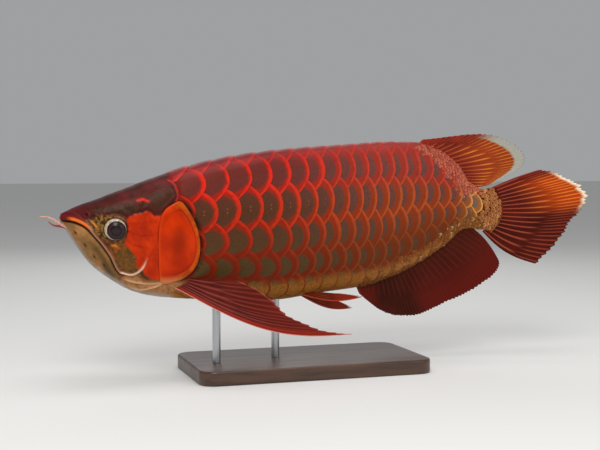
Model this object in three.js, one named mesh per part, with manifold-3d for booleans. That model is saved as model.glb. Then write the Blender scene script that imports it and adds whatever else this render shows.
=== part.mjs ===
// Asian arowana of the red kind, life size, held in a swimming pose on a display stand.
// Millimetres. +X runs from the snout to the tail, +Z is up and the fish's left side faces -Y.
// The floor is z = 0 and the middle of the stand's base is at x = 0, y = 0.
import * as THREE from "three";
import { mergeVertices } from "three/addons/utils/BufferGeometryUtils.js";
import Module from "manifold-3d";

const wasm = await Module();
wasm.setup();

// Driving dimensions
const GAP = 0.3; // between two nodes that touch
const SLANT_GAP = 0.42; // the same along x, where the cut between them slants
const SNOUT_X = -239.3; // front of the jaws
const NOSE = { reach: 1.6, inset: 0.42 }; // rounding of the very tip
const HEAD_BACK_X = -122; // the head's loft runs on under the gill covers
const SIDE_REACH = 90; // how far a side cutter reaches from the middle plane
const OVER_Z = 260; // above and below all that the cutters part
const UNDER_Z = 40;
const AHEAD_X = -300; // past the fish's two ends
const BEHIND_X = 340;

// The fish seen from above: the middle line bends in a slow S
const sway = smoothCurve([
  [-290, -11], [-225, -19], [-150, -21], [-70, -7], [10, 10],
  [85, 18], [135, 16], [185, 6], [240, -9], [290, -23], [320, -31],
]);
// Seen from the side: back and belly
const backLine = smoothCurve([
  [-240, 161], [-232, 165.5], [-205, 175.5], [-177, 186], [-148, 196.7], [-109, 207.6],
  [-66, 215.9], [-22, 221.1], [34, 225.5], [124, 230.5], [141, 228], [157, 220],
  [174, 206], [186, 188], [200, 181], [225, 184.5],
]);
const bellyLine = smoothCurve([
  [-240, 153.4], [-232.4, 139.6], [-223.5, 126.5], [-214.4, 114.2], [-196, 99.7], [-177, 88.6],
  [-158, 83], [-129, 79.2], [-67, 73.6], [-30, 71.6], [23, 76.2], [70, 80.5],
  [91, 86], [113, 94], [136, 105.5], [160, 121], [184, 139.5], [204, 138], [225, 133],
]);
// Half the body's breadth, and the height of its broadest level as a share of the section
const halfBreadth = smoothCurve([
  [-240, 3.5], [-230, 12.5], [-205, 20], [-170, 25], [-110, 28.5],
  [-40, 29.5], [40, 28.5], [100, 24], [150, 16], [185, 9.5], [205, 6], [232, 3],
]);
const broadest = smoothCurve([[-240, 0.5], [-200, 0.64], [-150, 0.64], [-100, 0.6], [100, 0.6], [230, 0.5]]);
const upperPower = smoothCurve([[-240, 2.2], [-190, 2.8], [-130, 2.5], [100, 2.4], [230, 2.2]]);
const lowerPower = smoothCurve([[-240, 2], [-190, 1.75], [-130, 1.9], [230, 2]]);

// Scales: twelve rows round the body, set like roof tiles in columns
const ROWS = 12;
const FIRST_COLUMN = -2;
const LAST_COLUMN = 21;
const SCALE_RISE = 1.3; // step at the rear edge of a scale
const LEAST_RISE = 0.14; // where the skin is smooth, at the roots of the fins
const columnX = smoothCurve([
  [-4, -213], [0, -120.5], [4, -28.6], [8, 45.2], [12, 106], [16, 163.3], [21, 218.2], [23, 236],
]);
// Angle of each row's middle from the back, in degrees, on the body, ahead of the tail and on the stalk
const FRONT_ROWS = [0, 57, 87, 108.5, 128, 148, 180];
const REAR_ROWS = [0, 66, 92, 112, 132, 152, 180];
const STALK_ROWS = [0, 34.6, 84, 120, 150, 165, 180];
const REAR_BLEND = [30, 150]; // where the rows turn from the front angles to the rear ones
const STALK_BLEND = [160, 200]; // and from those to the stalk's
const BACK_FADE = [95, 118]; // scales on the back flatten ahead of the dorsal fin
const STALK_FADE = { from: 120, to: 200, share: 0.45 }; // and grow thinner along the stalk
const TAIL_FADE = [196, 206]; // down to nothing at the tail fin
const MIDLINE_FADE = [0.1, 0.9]; // in rows from the back and the belly
const SHOULDER = { x: -133, z: 96, flat: 14, full: 26 }; // smooth skin round the pectoral root

// The cut lines between head, trunk, tail stalk and tail fin, in side view
const NAPE = [[-146, 205], [-144, 191], [-138.8, 187], [-136.6, 180], [-137.5, 172], [-137.5, 110],
  [-144.5, 97], [-144.5, 70]];
const VENT_X = 58;
const TAIL_ARC = [[205, 200], [208, 188], [214.5, 178], [219.5, 168], [221, 158], [217.5, 147], [210, 138],
  [203, 131], [196, 120]];
// The mouth runs down from the tip, round the corner of the jaw and back under the cheek
const MOUTH = [[-250, 154.6], [-238.6, 154.5], [-231.7, 153.9], [-223.2, 150.4], [-218.1, 146.4],
  [-213.7, 141.1], [-207.5, 133.8], [-202.1, 126.4], [-198.4, 120.7], [-195.4, 114.4], [-192, 108.2],
  [-186.5, 102.6], [-176, 98], [-162, 95], [-158, 70]];
const JAW_BELOW = [[-158, 40], [-250, 40]];
const JAW_SLOT = 0.16; // half the slot, along x and z
const UPPER_LIP = { from: 1, to: 12, dx: 1.9, dz: 1.7, width: [2.4, 4.8], height: 1.3 };
const LOWER_LIP = { from: 3, to: 11, dx: -1.7, dz: -1.9, width: [2.4, 3.4], height: 1 };
const CHEEK_RIDGE = [[-186, 105.8], [-179, 104.4], [-173.5, 106.2], [-168.5, 111.5], [-165, 119.5],
  [-161, 127.8], [-158, 137], [-157.6, 149]];
const NOSTRILS = [[-219.5, 160.5], [-212.5, 158.5]];
const NOSTRIL_R = 1.5;

// Gill cover: rear margin, round the foot and up the front edge
const GILL_EDGE = [[-150.2, 95.3], [-138.5, 96.8], [-126.2, 102.3], [-118.6, 111.5], [-115.3, 126.6],
  [-117, 142], [-121.5, 154.5], [-128.5, 166.4], [-134.7, 172.8], [-142, 170], [-150.5, 163],
  [-154.3, 150], [-155.2, 137], [-154.4, 121], [-153.2, 106]];
const GILL_MIDDLE = [-136, 134];
const GILL_DEPTH = 3; // thickness under the level of the skin
const GILL_POINTS = 24; // round its outline
const GILL_CUT = 6; // how far the cutter for its seat stands out

// Eye
const EYE = { x: -194, z: 147.2, radius: 10.4, dome: 16, depth: 6, collar: 1.1 };

// Pectoral fins: root, tips of the rays from the longest to the shortest, and the droop of the longest ray
const PECTORAL = {
  root: [[-140.6, -31, 92.2], [-133.5, -32, 95.5], [-127, -33, 99.5]],
  tips: [[13.3, -116.3, 52], [1, -109.8, 52.4], [-14, -101.5, 54.6], [-28, -94, 60.6], [-42, -87, 67.2],
    [-51, -82, 77], [-65, -75, 89], [-84, -65.3, 98.6]],
  rays: 7,
  droop: 18,
};
const RIGHT_PECTORAL_LIFT = 24; // the far fin is held higher than the near one

const LEFT_PELVIC = {
  root: [[-3, 6, 76], [4, 5.5, 76.5], [11, 5, 77.5]],
  tips: [[49.5, -43, 77], [46, -34, 77.4], [40, -26, 77.8], [33, -19, 78]],
  rays: 5,
  droop: 6,
};
const RIGHT_PELVIC = {
  root: [[-3, 12, 76], [4, 12.5, 76.5], [11, 13, 77.5]],
  tips: [[67, 33, 56], [62, 31, 59], [54, 28, 62.5], [44, 25, 66]],
  rays: 5,
  droop: 7,
};

// Unpaired fins in side view: root line inside the body, and the ray tips from front to rear
const DORSAL = {
  root: [[128, 224], [145, 217], [160, 207], [172, 196], [182, 185]],
  tips: [[138, 233], [152, 234.5], [170, 237], [190, 239], [209, 238.4], [226, 233], [239, 225],
    [246, 213.5], [241, 204], [232, 198], [222, 192.5], [212, 187]],
  rays: 16,
  bow: [0, 3],
};
const ANAL = {
  root: [[62, 84], [91, 93], [113, 101], [136, 112], [160, 127], [183, 145]],
  tips: [[68, 72.5], [78, 64], [90, 55], [104, 49], [118, 47.2], [134, 47.8], [147, 52.5], [160, 58.5],
    [176, 65.4], [189, 71.6], [204, 82], [215, 92], [218.5, 102], [213, 114]],
  rays: 19,
  bow: [0, -3],
};
const CAUDAL = {
  root: [[203, 179], [208, 173], [213, 166], [215, 158], [212, 149], [207, 142], [201, 136]],
  tips: [[260, 201.5], [275, 199], [290, 191.6], [303, 184.6], [311, 171], [305, 158.2], [294.5, 147.2],
    [286, 134], [271.5, 116.5], [257, 101]],
  rays: 15,
  bow: [-1.5, 6],
};
const RAY_ROOT = 2.4; // thickness of a ray at its root
const RAY_TIP = 0.9;
const WEB_ROOT = 1.3; // thickness of the skin between two rays
const WEB_TIP = 0.55;
const NOTCH = 0.045; // how much shorter the web is than its rays

// Chin barbels
const LEFT_BARBEL = [[-233, -20.5, 147.5], [-240, -22.5, 151.2], [-247, -25, 155.6], [-254, -28, 158.8],
  [-261, -31, 159.4]];
const RIGHT_BARBEL = [[-233, -15.5, 147], [-240, -13, 149.4], [-244.5, -8, 149.6], [-247.5, -1, 151],
  [-249.5, 5, 153]];
const BARBEL_ROOT_R = 1.3;
const BARBEL_TIP_R = 0.5;

// Stand
const BASE = { length: 236, width: 124, height: 14, corner: 16, bevel: 2 };
const ROD_R = 4;
const ROD_X = [-92, -28];

// A cubic through the points with no overshoot, straight past both ends.
function smoothCurve(points) {
  const last = points.length - 1;
  const run = (i) => points[i + 1][0] - points[i][0];
  const grade = (i) => (points[i + 1][1] - points[i][1]) / run(i);
  const slopes = points.map((_, i) => {
    if (i === 0) return grade(0);
    if (i === last) return grade(last - 1);
    const [a, b] = [grade(i - 1), grade(i)];
    if (a * b <= 0) return 0;
    const wa = 2 * run(i) + run(i - 1);
    const wb = run(i) + 2 * run(i - 1);
    return (wa + wb) / (wa / a + wb / b);
  });
  return (x) => {
    if (x <= points[0][0]) return points[0][1] + slopes[0] * (x - points[0][0]);
    if (x >= points[last][0]) return points[last][1] + slopes[last] * (x - points[last][0]);
    let i = 0;
    while (x > points[i + 1][0]) i += 1;
    const h = run(i);
    const t = (x - points[i][0]) / h;
    const s = 1 - t;
    return s * s * (1 + 2 * t) * points[i][1] + t * t * (1 + 2 * s) * points[i + 1][1]
      + h * t * s * (s * slopes[i] - t * slopes[i + 1]);
  };
}

// The point at share t of a list of points, on a curve through them.
function along(points, t) {
  const curve = new THREE.CatmullRomCurve3(points.map((p) => new THREE.Vector3(...p)), false, "centripetal");
  return curve.getPoint(THREE.MathUtils.clamp(t, 0, 1));
}

// Body surface. Angle 0 is the back, PI the belly; angles up to PI are the left side.
function sectionPoint(x, angle) {
  const top = backLine(x);
  const bottom = bellyLine(x);
  const level = bottom + (top - bottom) * broadest(x);
  const c = Math.cos(angle);
  const s = Math.sin(angle);
  const power = 2 / (c > 0 ? upperPower(x) : lowerPower(x));
  const rise = (c > 0 ? top - level : level - bottom) * Math.sign(c) * Math.abs(c) ** power;
  const out = halfBreadth(x) * Math.sign(s) * Math.abs(s) ** power;
  return new THREE.Vector3(x, sway(x) - out, level + rise);
}

function bodyPoint(x, angle, lift = 0) {
  const point = sectionPoint(x, angle);
  if (lift === 0) return point;
  const step = 0.02;
  const alongBody = sectionPoint(x + 1, angle).sub(sectionPoint(x - 1, angle));
  const roundBody = sectionPoint(x, angle + step).sub(sectionPoint(x, angle - step));
  return point.addScaledVector(roundBody.cross(alongBody).normalize(), lift);
}

// The angle at which the section at x has the height z; side is 1 on the left and -1 on the right.
function angleAt(x, z, side = 1) {
  const top = backLine(x);
  const bottom = bellyLine(x);
  const level = bottom + (top - bottom) * broadest(x);
  const upper = z > level;
  const reach = upper ? (z - level) / (top - level) : (level - z) / (level - bottom);
  const share = THREE.MathUtils.clamp(reach, 0, 1);
  const c = share ** ((upper ? upperPower(x) : lowerPower(x)) / 2);
  return side * Math.acos(upper ? c : -c);
}

const sidePoint = (x, z, side, lift = 0) => bodyPoint(x, angleAt(x, z, side), lift);

function sideNormal(x, z, side) {
  return sidePoint(x, z, side, 1).sub(sidePoint(x, z, side));
}

// A closed solid from points and faces of any number of corners; it is turned to face out.
function solidOf(points, faces) {
  const corners = [];
  for (const face of faces) {
    for (let i = 1; i < face.length - 1; i += 1) corners.push(face[0], face[i], face[i + 1]);
  }
  const geometry = new THREE.BufferGeometry();
  geometry.setAttribute("position", new THREE.Float32BufferAttribute(points.flatMap((p) => p.toArray()), 3));
  geometry.setIndex(corners);
  return toSolid(geometry);
}

function toSolid(geometry) {
  const bare = geometry.clone();
  bare.deleteAttribute("normal");
  bare.deleteAttribute("uv");
  const merged = mergeVertices(bare, 1e-4);
  const make = (triVerts) => new wasm.Manifold(new wasm.Mesh({
    numProp: 3,
    vertProperties: new Float32Array(merged.attributes.position.array),
    triVerts,
  }));
  const made = make(new Uint32Array(merged.index.array));
  return made.volume() > 0 ? made : make(new Uint32Array(merged.index.array).reverse());
}

// Rings of equal count joined into a tube, with a fan at each end.
function loft(rings) {
  const count = rings[0].length;
  const points = rings.flat();
  const faces = [];
  for (let i = 0; i < rings.length - 1; i += 1) {
    for (let j = 0; j < count; j += 1) {
      const k = (j + 1) % count;
      faces.push([i * count + j, i * count + k, (i + 1) * count + k, (i + 1) * count + j]);
    }
  }
  for (const [ring, turned] of [[0, true], [rings.length - 1, false]]) {
    const middle = new THREE.Vector3();
    for (const p of rings[ring]) middle.addScaledVector(p, 1 / count);
    points.push(middle);
    for (let j = 0; j < count; j += 1) {
      const a = ring * count + j;
      const b = ring * count + ((j + 1) % count);
      faces.push(turned ? [points.length - 1, b, a] : [points.length - 1, a, b]);
    }
  }
  return solidOf(points, faces);
}

// Rings round the smooth body, lifted off the skin; an ease over 1 sets them closer in front.
function bodyRings(fromX, toX, stations, around, lift, ease = 1) {
  const rings = [];
  for (let i = 0; i <= stations; i += 1) {
    const share = (i / stations) ** ease;
    const x = fromX + (toX - fromX) * share;
    const ring = [];
    for (let j = 0; j < around; j += 1) ring.push(bodyPoint(x, (2 * Math.PI * j) / around, lift));
    rings.push(ring);
  }
  return rings;
}

// A prism right through the fish over an outline in side view.
function sidePrism(outline) {
  const shape = new THREE.Shape(outline.map(([x, z]) => new THREE.Vector2(x, z)));
  const geometry = new THREE.ExtrudeGeometry(shape, { depth: 2 * SIDE_REACH, bevelEnabled: false });
  geometry.rotateX(Math.PI / 2);
  geometry.translate(0, SIDE_REACH, 0);
  return toSolid(geometry);
}

const shifted = (outline, dx, dz = 0) => outline.map(([x, z]) => [x + dx, z + dz]);

// Everything to one side of a cut line that runs down across the fish, as far as x = end.
function region(line, end) {
  const [topX] = line[0];
  const [lowX] = line[line.length - 1];
  return sidePrism([[end, OVER_Z], [topX, OVER_Z], ...line, [lowX, UNDER_Z], [end, UNDER_Z]]);
}

const regionAhead = (line, backOff = 0) => region(shifted(line, -backOff), AHEAD_X);
const regionBehind = (line) => region(line, BEHIND_X);

function biggestOf(solid) {
  const pieces = solid.decompose();
  return pieces.reduce((best, piece) => (piece.volume() > best.volume() ? piece : best));
}

// Angle of a row's middle, for any row number from 0 at the back, round the left side and on to 12.
function rowAngle(x, row) {
  const turned = ((row % ROWS) + ROWS) % ROWS;
  const side = turned > ROWS / 2 ? -1 : 1;
  const place = side > 0 ? turned : ROWS - turned;
  const low = Math.min(Math.floor(place), ROWS / 2 - 1);
  const share = place - low;
  const pick = (rows) => rows[low] + (rows[low + 1] - rows[low]) * share;
  const rear = THREE.MathUtils.smoothstep(x, ...REAR_BLEND);
  const stalk = THREE.MathUtils.smoothstep(x, ...STALK_BLEND);
  const front = pick(FRONT_ROWS) * (1 - rear) + pick(REAR_ROWS) * rear;
  return side * THREE.MathUtils.degToRad(front * (1 - stalk) + pick(STALK_ROWS) * stalk);
}

// Height of a scale's rear edge: full on the sides, next to nothing where a fin or a rod meets the skin.
function scaleRise(x, row) {
  const place = Math.min(Math.abs(row), Math.abs(ROWS - row));
  const belly = THREE.MathUtils.smoothstep(ROWS / 2 - place, ...MIDLINE_FADE);
  const side = THREE.MathUtils.smoothstep(place, ...MIDLINE_FADE);
  const back = Math.max(side, 1 - THREE.MathUtils.smoothstep(x, ...BACK_FADE));
  const stalk = 1 - STALK_FADE.share * THREE.MathUtils.smoothstep(x, STALK_FADE.from, STALK_FADE.to);
  const end = 1 - THREE.MathUtils.smoothstep(x, ...TAIL_FADE);
  const point = bodyPoint(x, rowAngle(x, row));
  const root = Math.hypot(point.x - SHOULDER.x, point.z - SHOULDER.z);
  const shoulder = THREE.MathUtils.smoothstep(root, SHOULDER.flat, SHOULDER.full);
  return Math.max(LEAST_RISE, SCALE_RISE * belly * back * stalk * end * shoulder);
}

// The scaled trunk as one closed surface, or the same surface grown all round.
// A scale shows a tilted plate and a step down to the next ones.
function scaledTrunk(grow = 0) {
  const points = [];
  const known = new Map();
  const shoulderRow = 0.3;
  const shoulderBack = 0.12;
  const spots = { apex: [0, 0], up: [shoulderBack, shoulderRow], low: [shoulderBack, -shoulderRow] };
  const levels = { Top: 1, Mid: 0.5, Foot: 0 };
  const vertex = (column, row, spot, level) => {
    const turned = (row + ROWS) % ROWS;
    const key = [column, turned, spot, level].join();
    if (!known.has(key)) {
      const [back, across] = spots[spot];
      const x = columnX(column - back);
      const lift = grow + levels[level] * scaleRise(x, turned + across);
      known.set(key, points.push(bodyPoint(x, rowAngle(x, turned + across), lift)) - 1);
    }
    return known.get(key);
  };
  const faces = [];
  for (let row = 0; row < ROWS; row += 1) {
    const offset = row % 2 ? 0.5 : 0;
    for (let c = FIRST_COLUMN + offset; c <= LAST_COLUMN + offset; c += 1) {
      const own = (spot, level) => vertex(c, row, spot, level);
      const upper = (spot, level) => vertex(c - 0.5, row + 1, spot, level);
      const lower = (spot, level) => vertex(c - 0.5, row - 1, spot, level);
      const before = (spot, level) => vertex(c - 1, row, spot, level);
      faces.push([before("apex", "Foot"), before("up", "Foot"), upper("low", "Mid"), own("up", "Top"),
        own("apex", "Top"), own("low", "Top"), lower("up", "Mid"), before("low", "Foot")]);
      faces.push([upper("low", "Mid"), upper("low", "Foot"), own("up", "Mid"), own("up", "Top")]);
      faces.push([own("up", "Mid"), own("up", "Foot"), own("apex", "Foot"), own("apex", "Top"),
        own("up", "Top")]);
      faces.push([own("low", "Mid"), own("low", "Top"), own("apex", "Top"), own("apex", "Foot"),
        own("low", "Foot")]);
      faces.push([lower("up", "Mid"), own("low", "Top"), own("low", "Mid"), lower("up", "Foot")]);
    }
  }
  closeEnds(points, faces);
  return solidOf(points, faces);
}

// Fans over every open loop of edges.
function closeEnds(points, faces) {
  const next = new Map();
  const seen = new Set();
  for (const face of faces) face.forEach((a, i) => seen.add(`${a},${face[(i + 1) % face.length]}`));
  for (const edge of seen) {
    const [a, b] = edge.split(",").map(Number);
    if (!seen.has(`${b},${a}`)) next.set(b, a);
  }
  while (next.size) {
    const start = next.keys().next().value;
    const loop = [];
    for (let at = start; next.has(at);) {
      loop.push(at);
      const to = next.get(at);
      next.delete(at);
      at = to;
    }
    const middle = new THREE.Vector3();
    for (const i of loop) middle.addScaledVector(points[i], 1 / loop.length);
    const hub = points.push(middle) - 1;
    loop.forEach((a, i) => faces.push([hub, a, loop[(i + 1) % loop.length]]));
  }
}

// A flat strip laid on the side of the head, half sunk: width and height at a share of its length.
function skinBand(route, side, width, height) {
  const steps = route.length - 1;
  const rings = route.map(([x, z], i) => {
    const [ax, az] = route[Math.max(i - 1, 0)];
    const [bx, bz] = route[Math.min(i + 1, steps)];
    const tangent = sidePoint(bx, bz, side).sub(sidePoint(ax, az, side)).normalize();
    const normal = sideNormal(x, z, side).normalize();
    const across = new THREE.Vector3().crossVectors(tangent, normal).normalize();
    const ring = [];
    const corners = 6;
    for (let k = 0; k < corners; k += 1) {
      const turn = (2 * Math.PI * k) / corners;
      const point = sidePoint(x, z, side);
      point.addScaledVector(across, (width(i / steps) / 2) * Math.cos(turn));
      ring.push(point.addScaledVector(normal, height(i / steps) * Math.sin(turn)));
    }
    return ring;
  });
  return loft(rings);
}

// Matrix that puts a shape's +Y on the skin's outward normal at a point of the side.
function seatOnSide(x, z, side) {
  const turn = new THREE.Quaternion().setFromUnitVectors(
    new THREE.Vector3(0, 1, 0),
    sideNormal(x, z, side).normalize(),
  );
  return new THREE.Matrix4().compose(sidePoint(x, z, side), turn, new THREE.Vector3(1, 1, 1));
}

function eyeProfile(grow) {
  const radius = EYE.radius + grow;
  const rise = EYE.dome - Math.sqrt(EYE.dome ** 2 - EYE.radius ** 2);
  const profile = [new THREE.Vector2(0, -EYE.depth - grow), new THREE.Vector2(radius, -EYE.depth - grow)];
  const steps = 5;
  for (let i = 0; i <= steps; i += 1) {
    const r = radius * (1 - i / steps);
    const height = Math.sqrt(EYE.dome ** 2 - (EYE.radius * (1 - i / steps)) ** 2) - EYE.dome + rise;
    profile.push(new THREE.Vector2(r, height));
  }
  return profile;
}

function eyeball(side) {
  const geometry = new THREE.LatheGeometry(eyeProfile(0), 20);
  return toSolid(geometry.applyMatrix4(seatOnSide(EYE.x, EYE.z, side)));
}

function eyeSocket(side) {
  const bore = new THREE.CylinderGeometry(EYE.radius + GAP, EYE.radius + GAP, 2 * (EYE.depth + GAP), 20);
  return toSolid(bore.applyMatrix4(seatOnSide(EYE.x, EYE.z, side)));
}

function eyeCollar(side) {
  const ring = new THREE.TorusGeometry(EYE.radius + 0.5, EYE.collar, 5, 20);
  ring.rotateX(Math.PI / 2);
  return toSolid(ring.applyMatrix4(seatOnSide(EYE.x, EYE.z, side)));
}

// A gill cover is a shallow dished plate with a raised rim and one groove inside it.
function gillPlate(side, grow, top) {
  const edge = new THREE.CatmullRomCurve3(GILL_EDGE.map(([x, z]) => new THREE.Vector3(x, 0, z)), true);
  const outline = edge.getSpacedPoints(GILL_POINTS).slice(0, GILL_POINTS);
  const [mx, mz] = GILL_MIDDLE;
  const ringAt = (share, lift) => outline.map((p) => {
    const reach = Math.hypot(p.x - mx, p.z - mz);
    const scale = share * (1 + grow / reach);
    return sidePoint(mx + (p.x - mx) * scale, mz + (p.z - mz) * scale, side, lift);
  });
  const outer = top
    ? [[1, top], [0.5, top]]
    : [[1, 0.5], [0.97, 1.4], [0.86, 1.5], [0.8, 0.9], [0.74, 1.5], [0.4, 2]];
  const inner = [[0.4, -GILL_DEPTH - grow], [1, -GILL_DEPTH - grow]];
  return loft([...inner, ...outer].map(([share, lift]) => ringAt(share, lift)));
}

// A rayed fin: a sheet between a root line and a line of ray tips, thick along each ray, thin between.
function finSheet({ rays, rows, place, root = RAY_ROOT }) {
  const columns = 2 * rays;
  const middles = [];
  for (let i = 0; i <= columns; i += 1) {
    const web = i % 2 === 0;
    const line = [];
    for (let j = 0; j <= rows; j += 1) {
      const v = (j / rows) * (web ? 1 - NOTCH : 1);
      const thick = web
        ? THREE.MathUtils.lerp(WEB_ROOT * (root / RAY_ROOT), WEB_TIP, v)
        : THREE.MathUtils.lerp(root, RAY_TIP, v);
      const u = i / columns;
      const d = 0.01;
      const du = place(Math.min(u + d, 1), v).sub(place(Math.max(u - d, 0), v));
      const dv = place(u, Math.min(v + d, 1)).sub(place(u, Math.max(v - d, 0)));
      line.push({ at: place(u, v), normal: du.cross(dv).normalize(), half: thick / 2 });
    }
    middles.push(line);
  }
  const points = [];
  const faces = [];
  for (const side of [1, -1]) {
    for (const line of middles) {
      for (const { at, normal, half } of line) points.push(at.clone().addScaledVector(normal, side * half));
    }
  }
  const under = (columns + 1) * (rows + 1);
  const id = (i, j) => i * (rows + 1) + j;
  for (let i = 0; i < columns; i += 1) {
    for (let j = 0; j < rows; j += 1) {
      const [a, b, c, d] = [id(i, j), id(i + 1, j), id(i + 1, j + 1), id(i, j + 1)];
      for (const [p, q, r] of i % 2 ? [[a, b, c], [a, c, d]] : [[a, b, d], [b, c, d]]) {
        faces.push([p, q, r], [p + under, r + under, q + under]);
      }
    }
  }
  const rim = [];
  for (let i = 0; i < columns; i += 1) rim.push(id(i, 0));
  for (let j = 0; j < rows; j += 1) rim.push(id(columns, j));
  for (let i = columns; i > 0; i -= 1) rim.push(id(i, rows));
  for (let j = rows; j > 0; j -= 1) rim.push(id(0, j));
  rim.forEach((a, i) => {
    const b = rim[(i + 1) % rim.length];
    faces.push([b, a, a + under], [b, a + under, b + under]);
  });
  return solidOf(points, faces);
}

// Dorsal, anal and tail fins stand in the middle plane, which bends with the body.
function middleFin({ root, tips, rays, bow }, rows, thick) {
  const at = (list, t) => along(list.map(([x, z]) => [x, 0, z]), t);
  const place = (u, v) => {
    const foot = at(root, u);
    const tip = at(tips, u);
    const across = new THREE.Vector3(foot.z - tip.z, 0, tip.x - foot.x).normalize();
    const point = foot.lerp(tip, v);
    point.addScaledVector(across, -THREE.MathUtils.lerp(bow[0], bow[1], u) * Math.sin(Math.PI * v));
    point.y = sway(point.x);
    return point;
  };
  return finSheet({ rays, rows, place, root: thick });
}

// Paired fins reach out from the side, the longest ray drooping the most.
function sideFin({ root, tips, rays, droop }, rows, adjust = (point) => point) {
  const place = (u, v) => {
    const point = along(root, u).lerp(along(tips, u), v);
    point.z -= droop * (1 - u) ** 1.4 * Math.sin(Math.PI * v ** 1.1);
    return adjust(point, v);
  };
  return finSheet({ rays, rows, place });
}

// The right pectoral fin is the left one mirrored in the middle plane at the shoulder, and held higher.
function acrossShoulder(point, v) {
  const reach = 5;
  const slope = (sway(SHOULDER.x + reach) - sway(SHOULDER.x - reach)) / (2 * reach);
  const plane = sway(SHOULDER.x) + slope * (point.x - SHOULDER.x);
  point.y = 2 * plane - point.y;
  point.z += RIGHT_PECTORAL_LIFT * v;
  return point;
}

function barbel(route) {
  const curve = new THREE.CatmullRomCurve3(route.map((p) => new THREE.Vector3(...p)));
  const steps = 9;
  const corners = 7;
  const rings = [];
  for (let i = 0; i <= steps; i += 1) {
    const tangent = curve.getTangent(i / steps);
    const side = new THREE.Vector3().crossVectors(tangent, new THREE.Vector3(0, 0, 1)).normalize();
    const up = new THREE.Vector3().crossVectors(side, tangent);
    const radius = THREE.MathUtils.lerp(BARBEL_ROOT_R, BARBEL_TIP_R, i / steps);
    const ring = [];
    for (let k = 0; k < corners; k += 1) {
      const turn = (2 * Math.PI * k) / corners;
      const point = curve.getPoint(i / steps);
      point.addScaledVector(side, radius * Math.cos(turn));
      ring.push(point.addScaledVector(up, radius * Math.sin(turn)));
    }
    rings.push(ring);
  }
  return loft(rings);
}

function standBase() {
  const { length, width, height, corner, bevel } = BASE;
  const [a, b] = [length / 2 - bevel, width / 2 - bevel];
  const shape = new THREE.Shape();
  shape.moveTo(-a + corner, -b);
  shape.lineTo(a - corner, -b);
  shape.absarc(a - corner, -b + corner, corner, -Math.PI / 2, 0, false);
  shape.lineTo(a, b - corner);
  shape.absarc(a - corner, b - corner, corner, 0, Math.PI / 2, false);
  shape.lineTo(-a + corner, b);
  shape.absarc(-a + corner, b - corner, corner, Math.PI / 2, Math.PI, false);
  shape.lineTo(-a, -b + corner);
  shape.absarc(-a + corner, -b + corner, corner, Math.PI, 1.5 * Math.PI, false);
  const geometry = new THREE.ExtrudeGeometry(shape, {
    depth: height - 2 * bevel,
    curveSegments: 4,
    bevelThickness: bevel,
    bevelSize: bevel,
    bevelSegments: 1,
  });
  geometry.translate(0, 0, bevel);
  return toSolid(geometry);
}

function standRod(x) {
  const reach = 80;
  const geometry = new THREE.CylinderGeometry(ROD_R, ROD_R, reach, 16);
  geometry.rotateX(Math.PI / 2);
  geometry.translate(x, sway(x), BASE.height + GAP + reach / 2);
  return toSolid(geometry);
}

// The head's loft, with a smaller ring ahead of the first that rounds the nose.
function headShell(lift) {
  const rings = bodyRings(SNOUT_X, HEAD_BACK_X, 24, 28, lift, 1.35);
  const middle = new THREE.Vector3();
  for (const p of rings[0]) middle.addScaledVector(p, 1 / rings[0].length);
  const tip = rings[0].map((p) => p.clone().lerp(middle, NOSE.inset).setX(SNOUT_X - NOSE.reach - lift));
  return loft([tip, ...rings]);
}

// A lip follows the mouth's line at a small distance and widens to the corner.
function lipBand({ from, to, dx, dz, width, height }, side) {
  const route = shifted(MOUTH.slice(from, to), dx, dz);
  return skinBand(route, side, (t) => THREE.MathUtils.lerp(...width, t), () => height);
}

// Head, parted from the trunk at the nape and from the lower jaw along the mouth
function buildHeadAndJaw(gillCutters) {
  const whole = headShell(0);
  let head = whole.intersect(regionAhead(NAPE, SLANT_GAP));
  const jawBelow = (offset) => sidePrism([...shifted(MOUTH, offset, offset), ...JAW_BELOW]);
  let jaw = whole.intersect(jawBelow(-JAW_SLOT));
  head = head.subtract(jawBelow(JAW_SLOT));
  for (const side of [1, -1]) {
    head = head.add(lipBand(UPPER_LIP, side));
    head = head.add(skinBand(CHEEK_RIDGE, side, () => 2, (t) => 1.1 - 0.5 * t));
    head = head.add(eyeCollar(side)).subtract(eyeSocket(side));
    jaw = jaw.add(lipBand(LOWER_LIP, side));
    for (const [x, z] of NOSTRILS) {
      const pit = new THREE.SphereGeometry(NOSTRIL_R, 10, 8);
      head = head.subtract(toSolid(pit.applyMatrix4(seatOnSide(x, z, side))));
    }
  }
  head = head.subtract(jawBelow(JAW_SLOT));
  jaw = jaw.intersect(jawBelow(-JAW_SLOT));
  for (const cutter of gillCutters) head = head.subtract(cutter);
  return [biggestOf(head), biggestOf(jaw)];
}

function finish(name, solid, color, roughness, metalness = 0) {
  const kept = biggestOf(solid);
  const { vertProperties, triVerts } = kept.getMesh();
  const geometry = new THREE.BufferGeometry();
  geometry.setAttribute("position", new THREE.BufferAttribute(new Float32Array(vertProperties), 3));
  geometry.setIndex(new THREE.BufferAttribute(new Uint32Array(triVerts), 1));
  geometry.computeVertexNormals();
  const material = new THREE.MeshStandardMaterial({ color, roughness, metalness });
  const mesh = new THREE.Mesh(geometry, material);
  mesh.name = name;
  return mesh;
}

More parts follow.
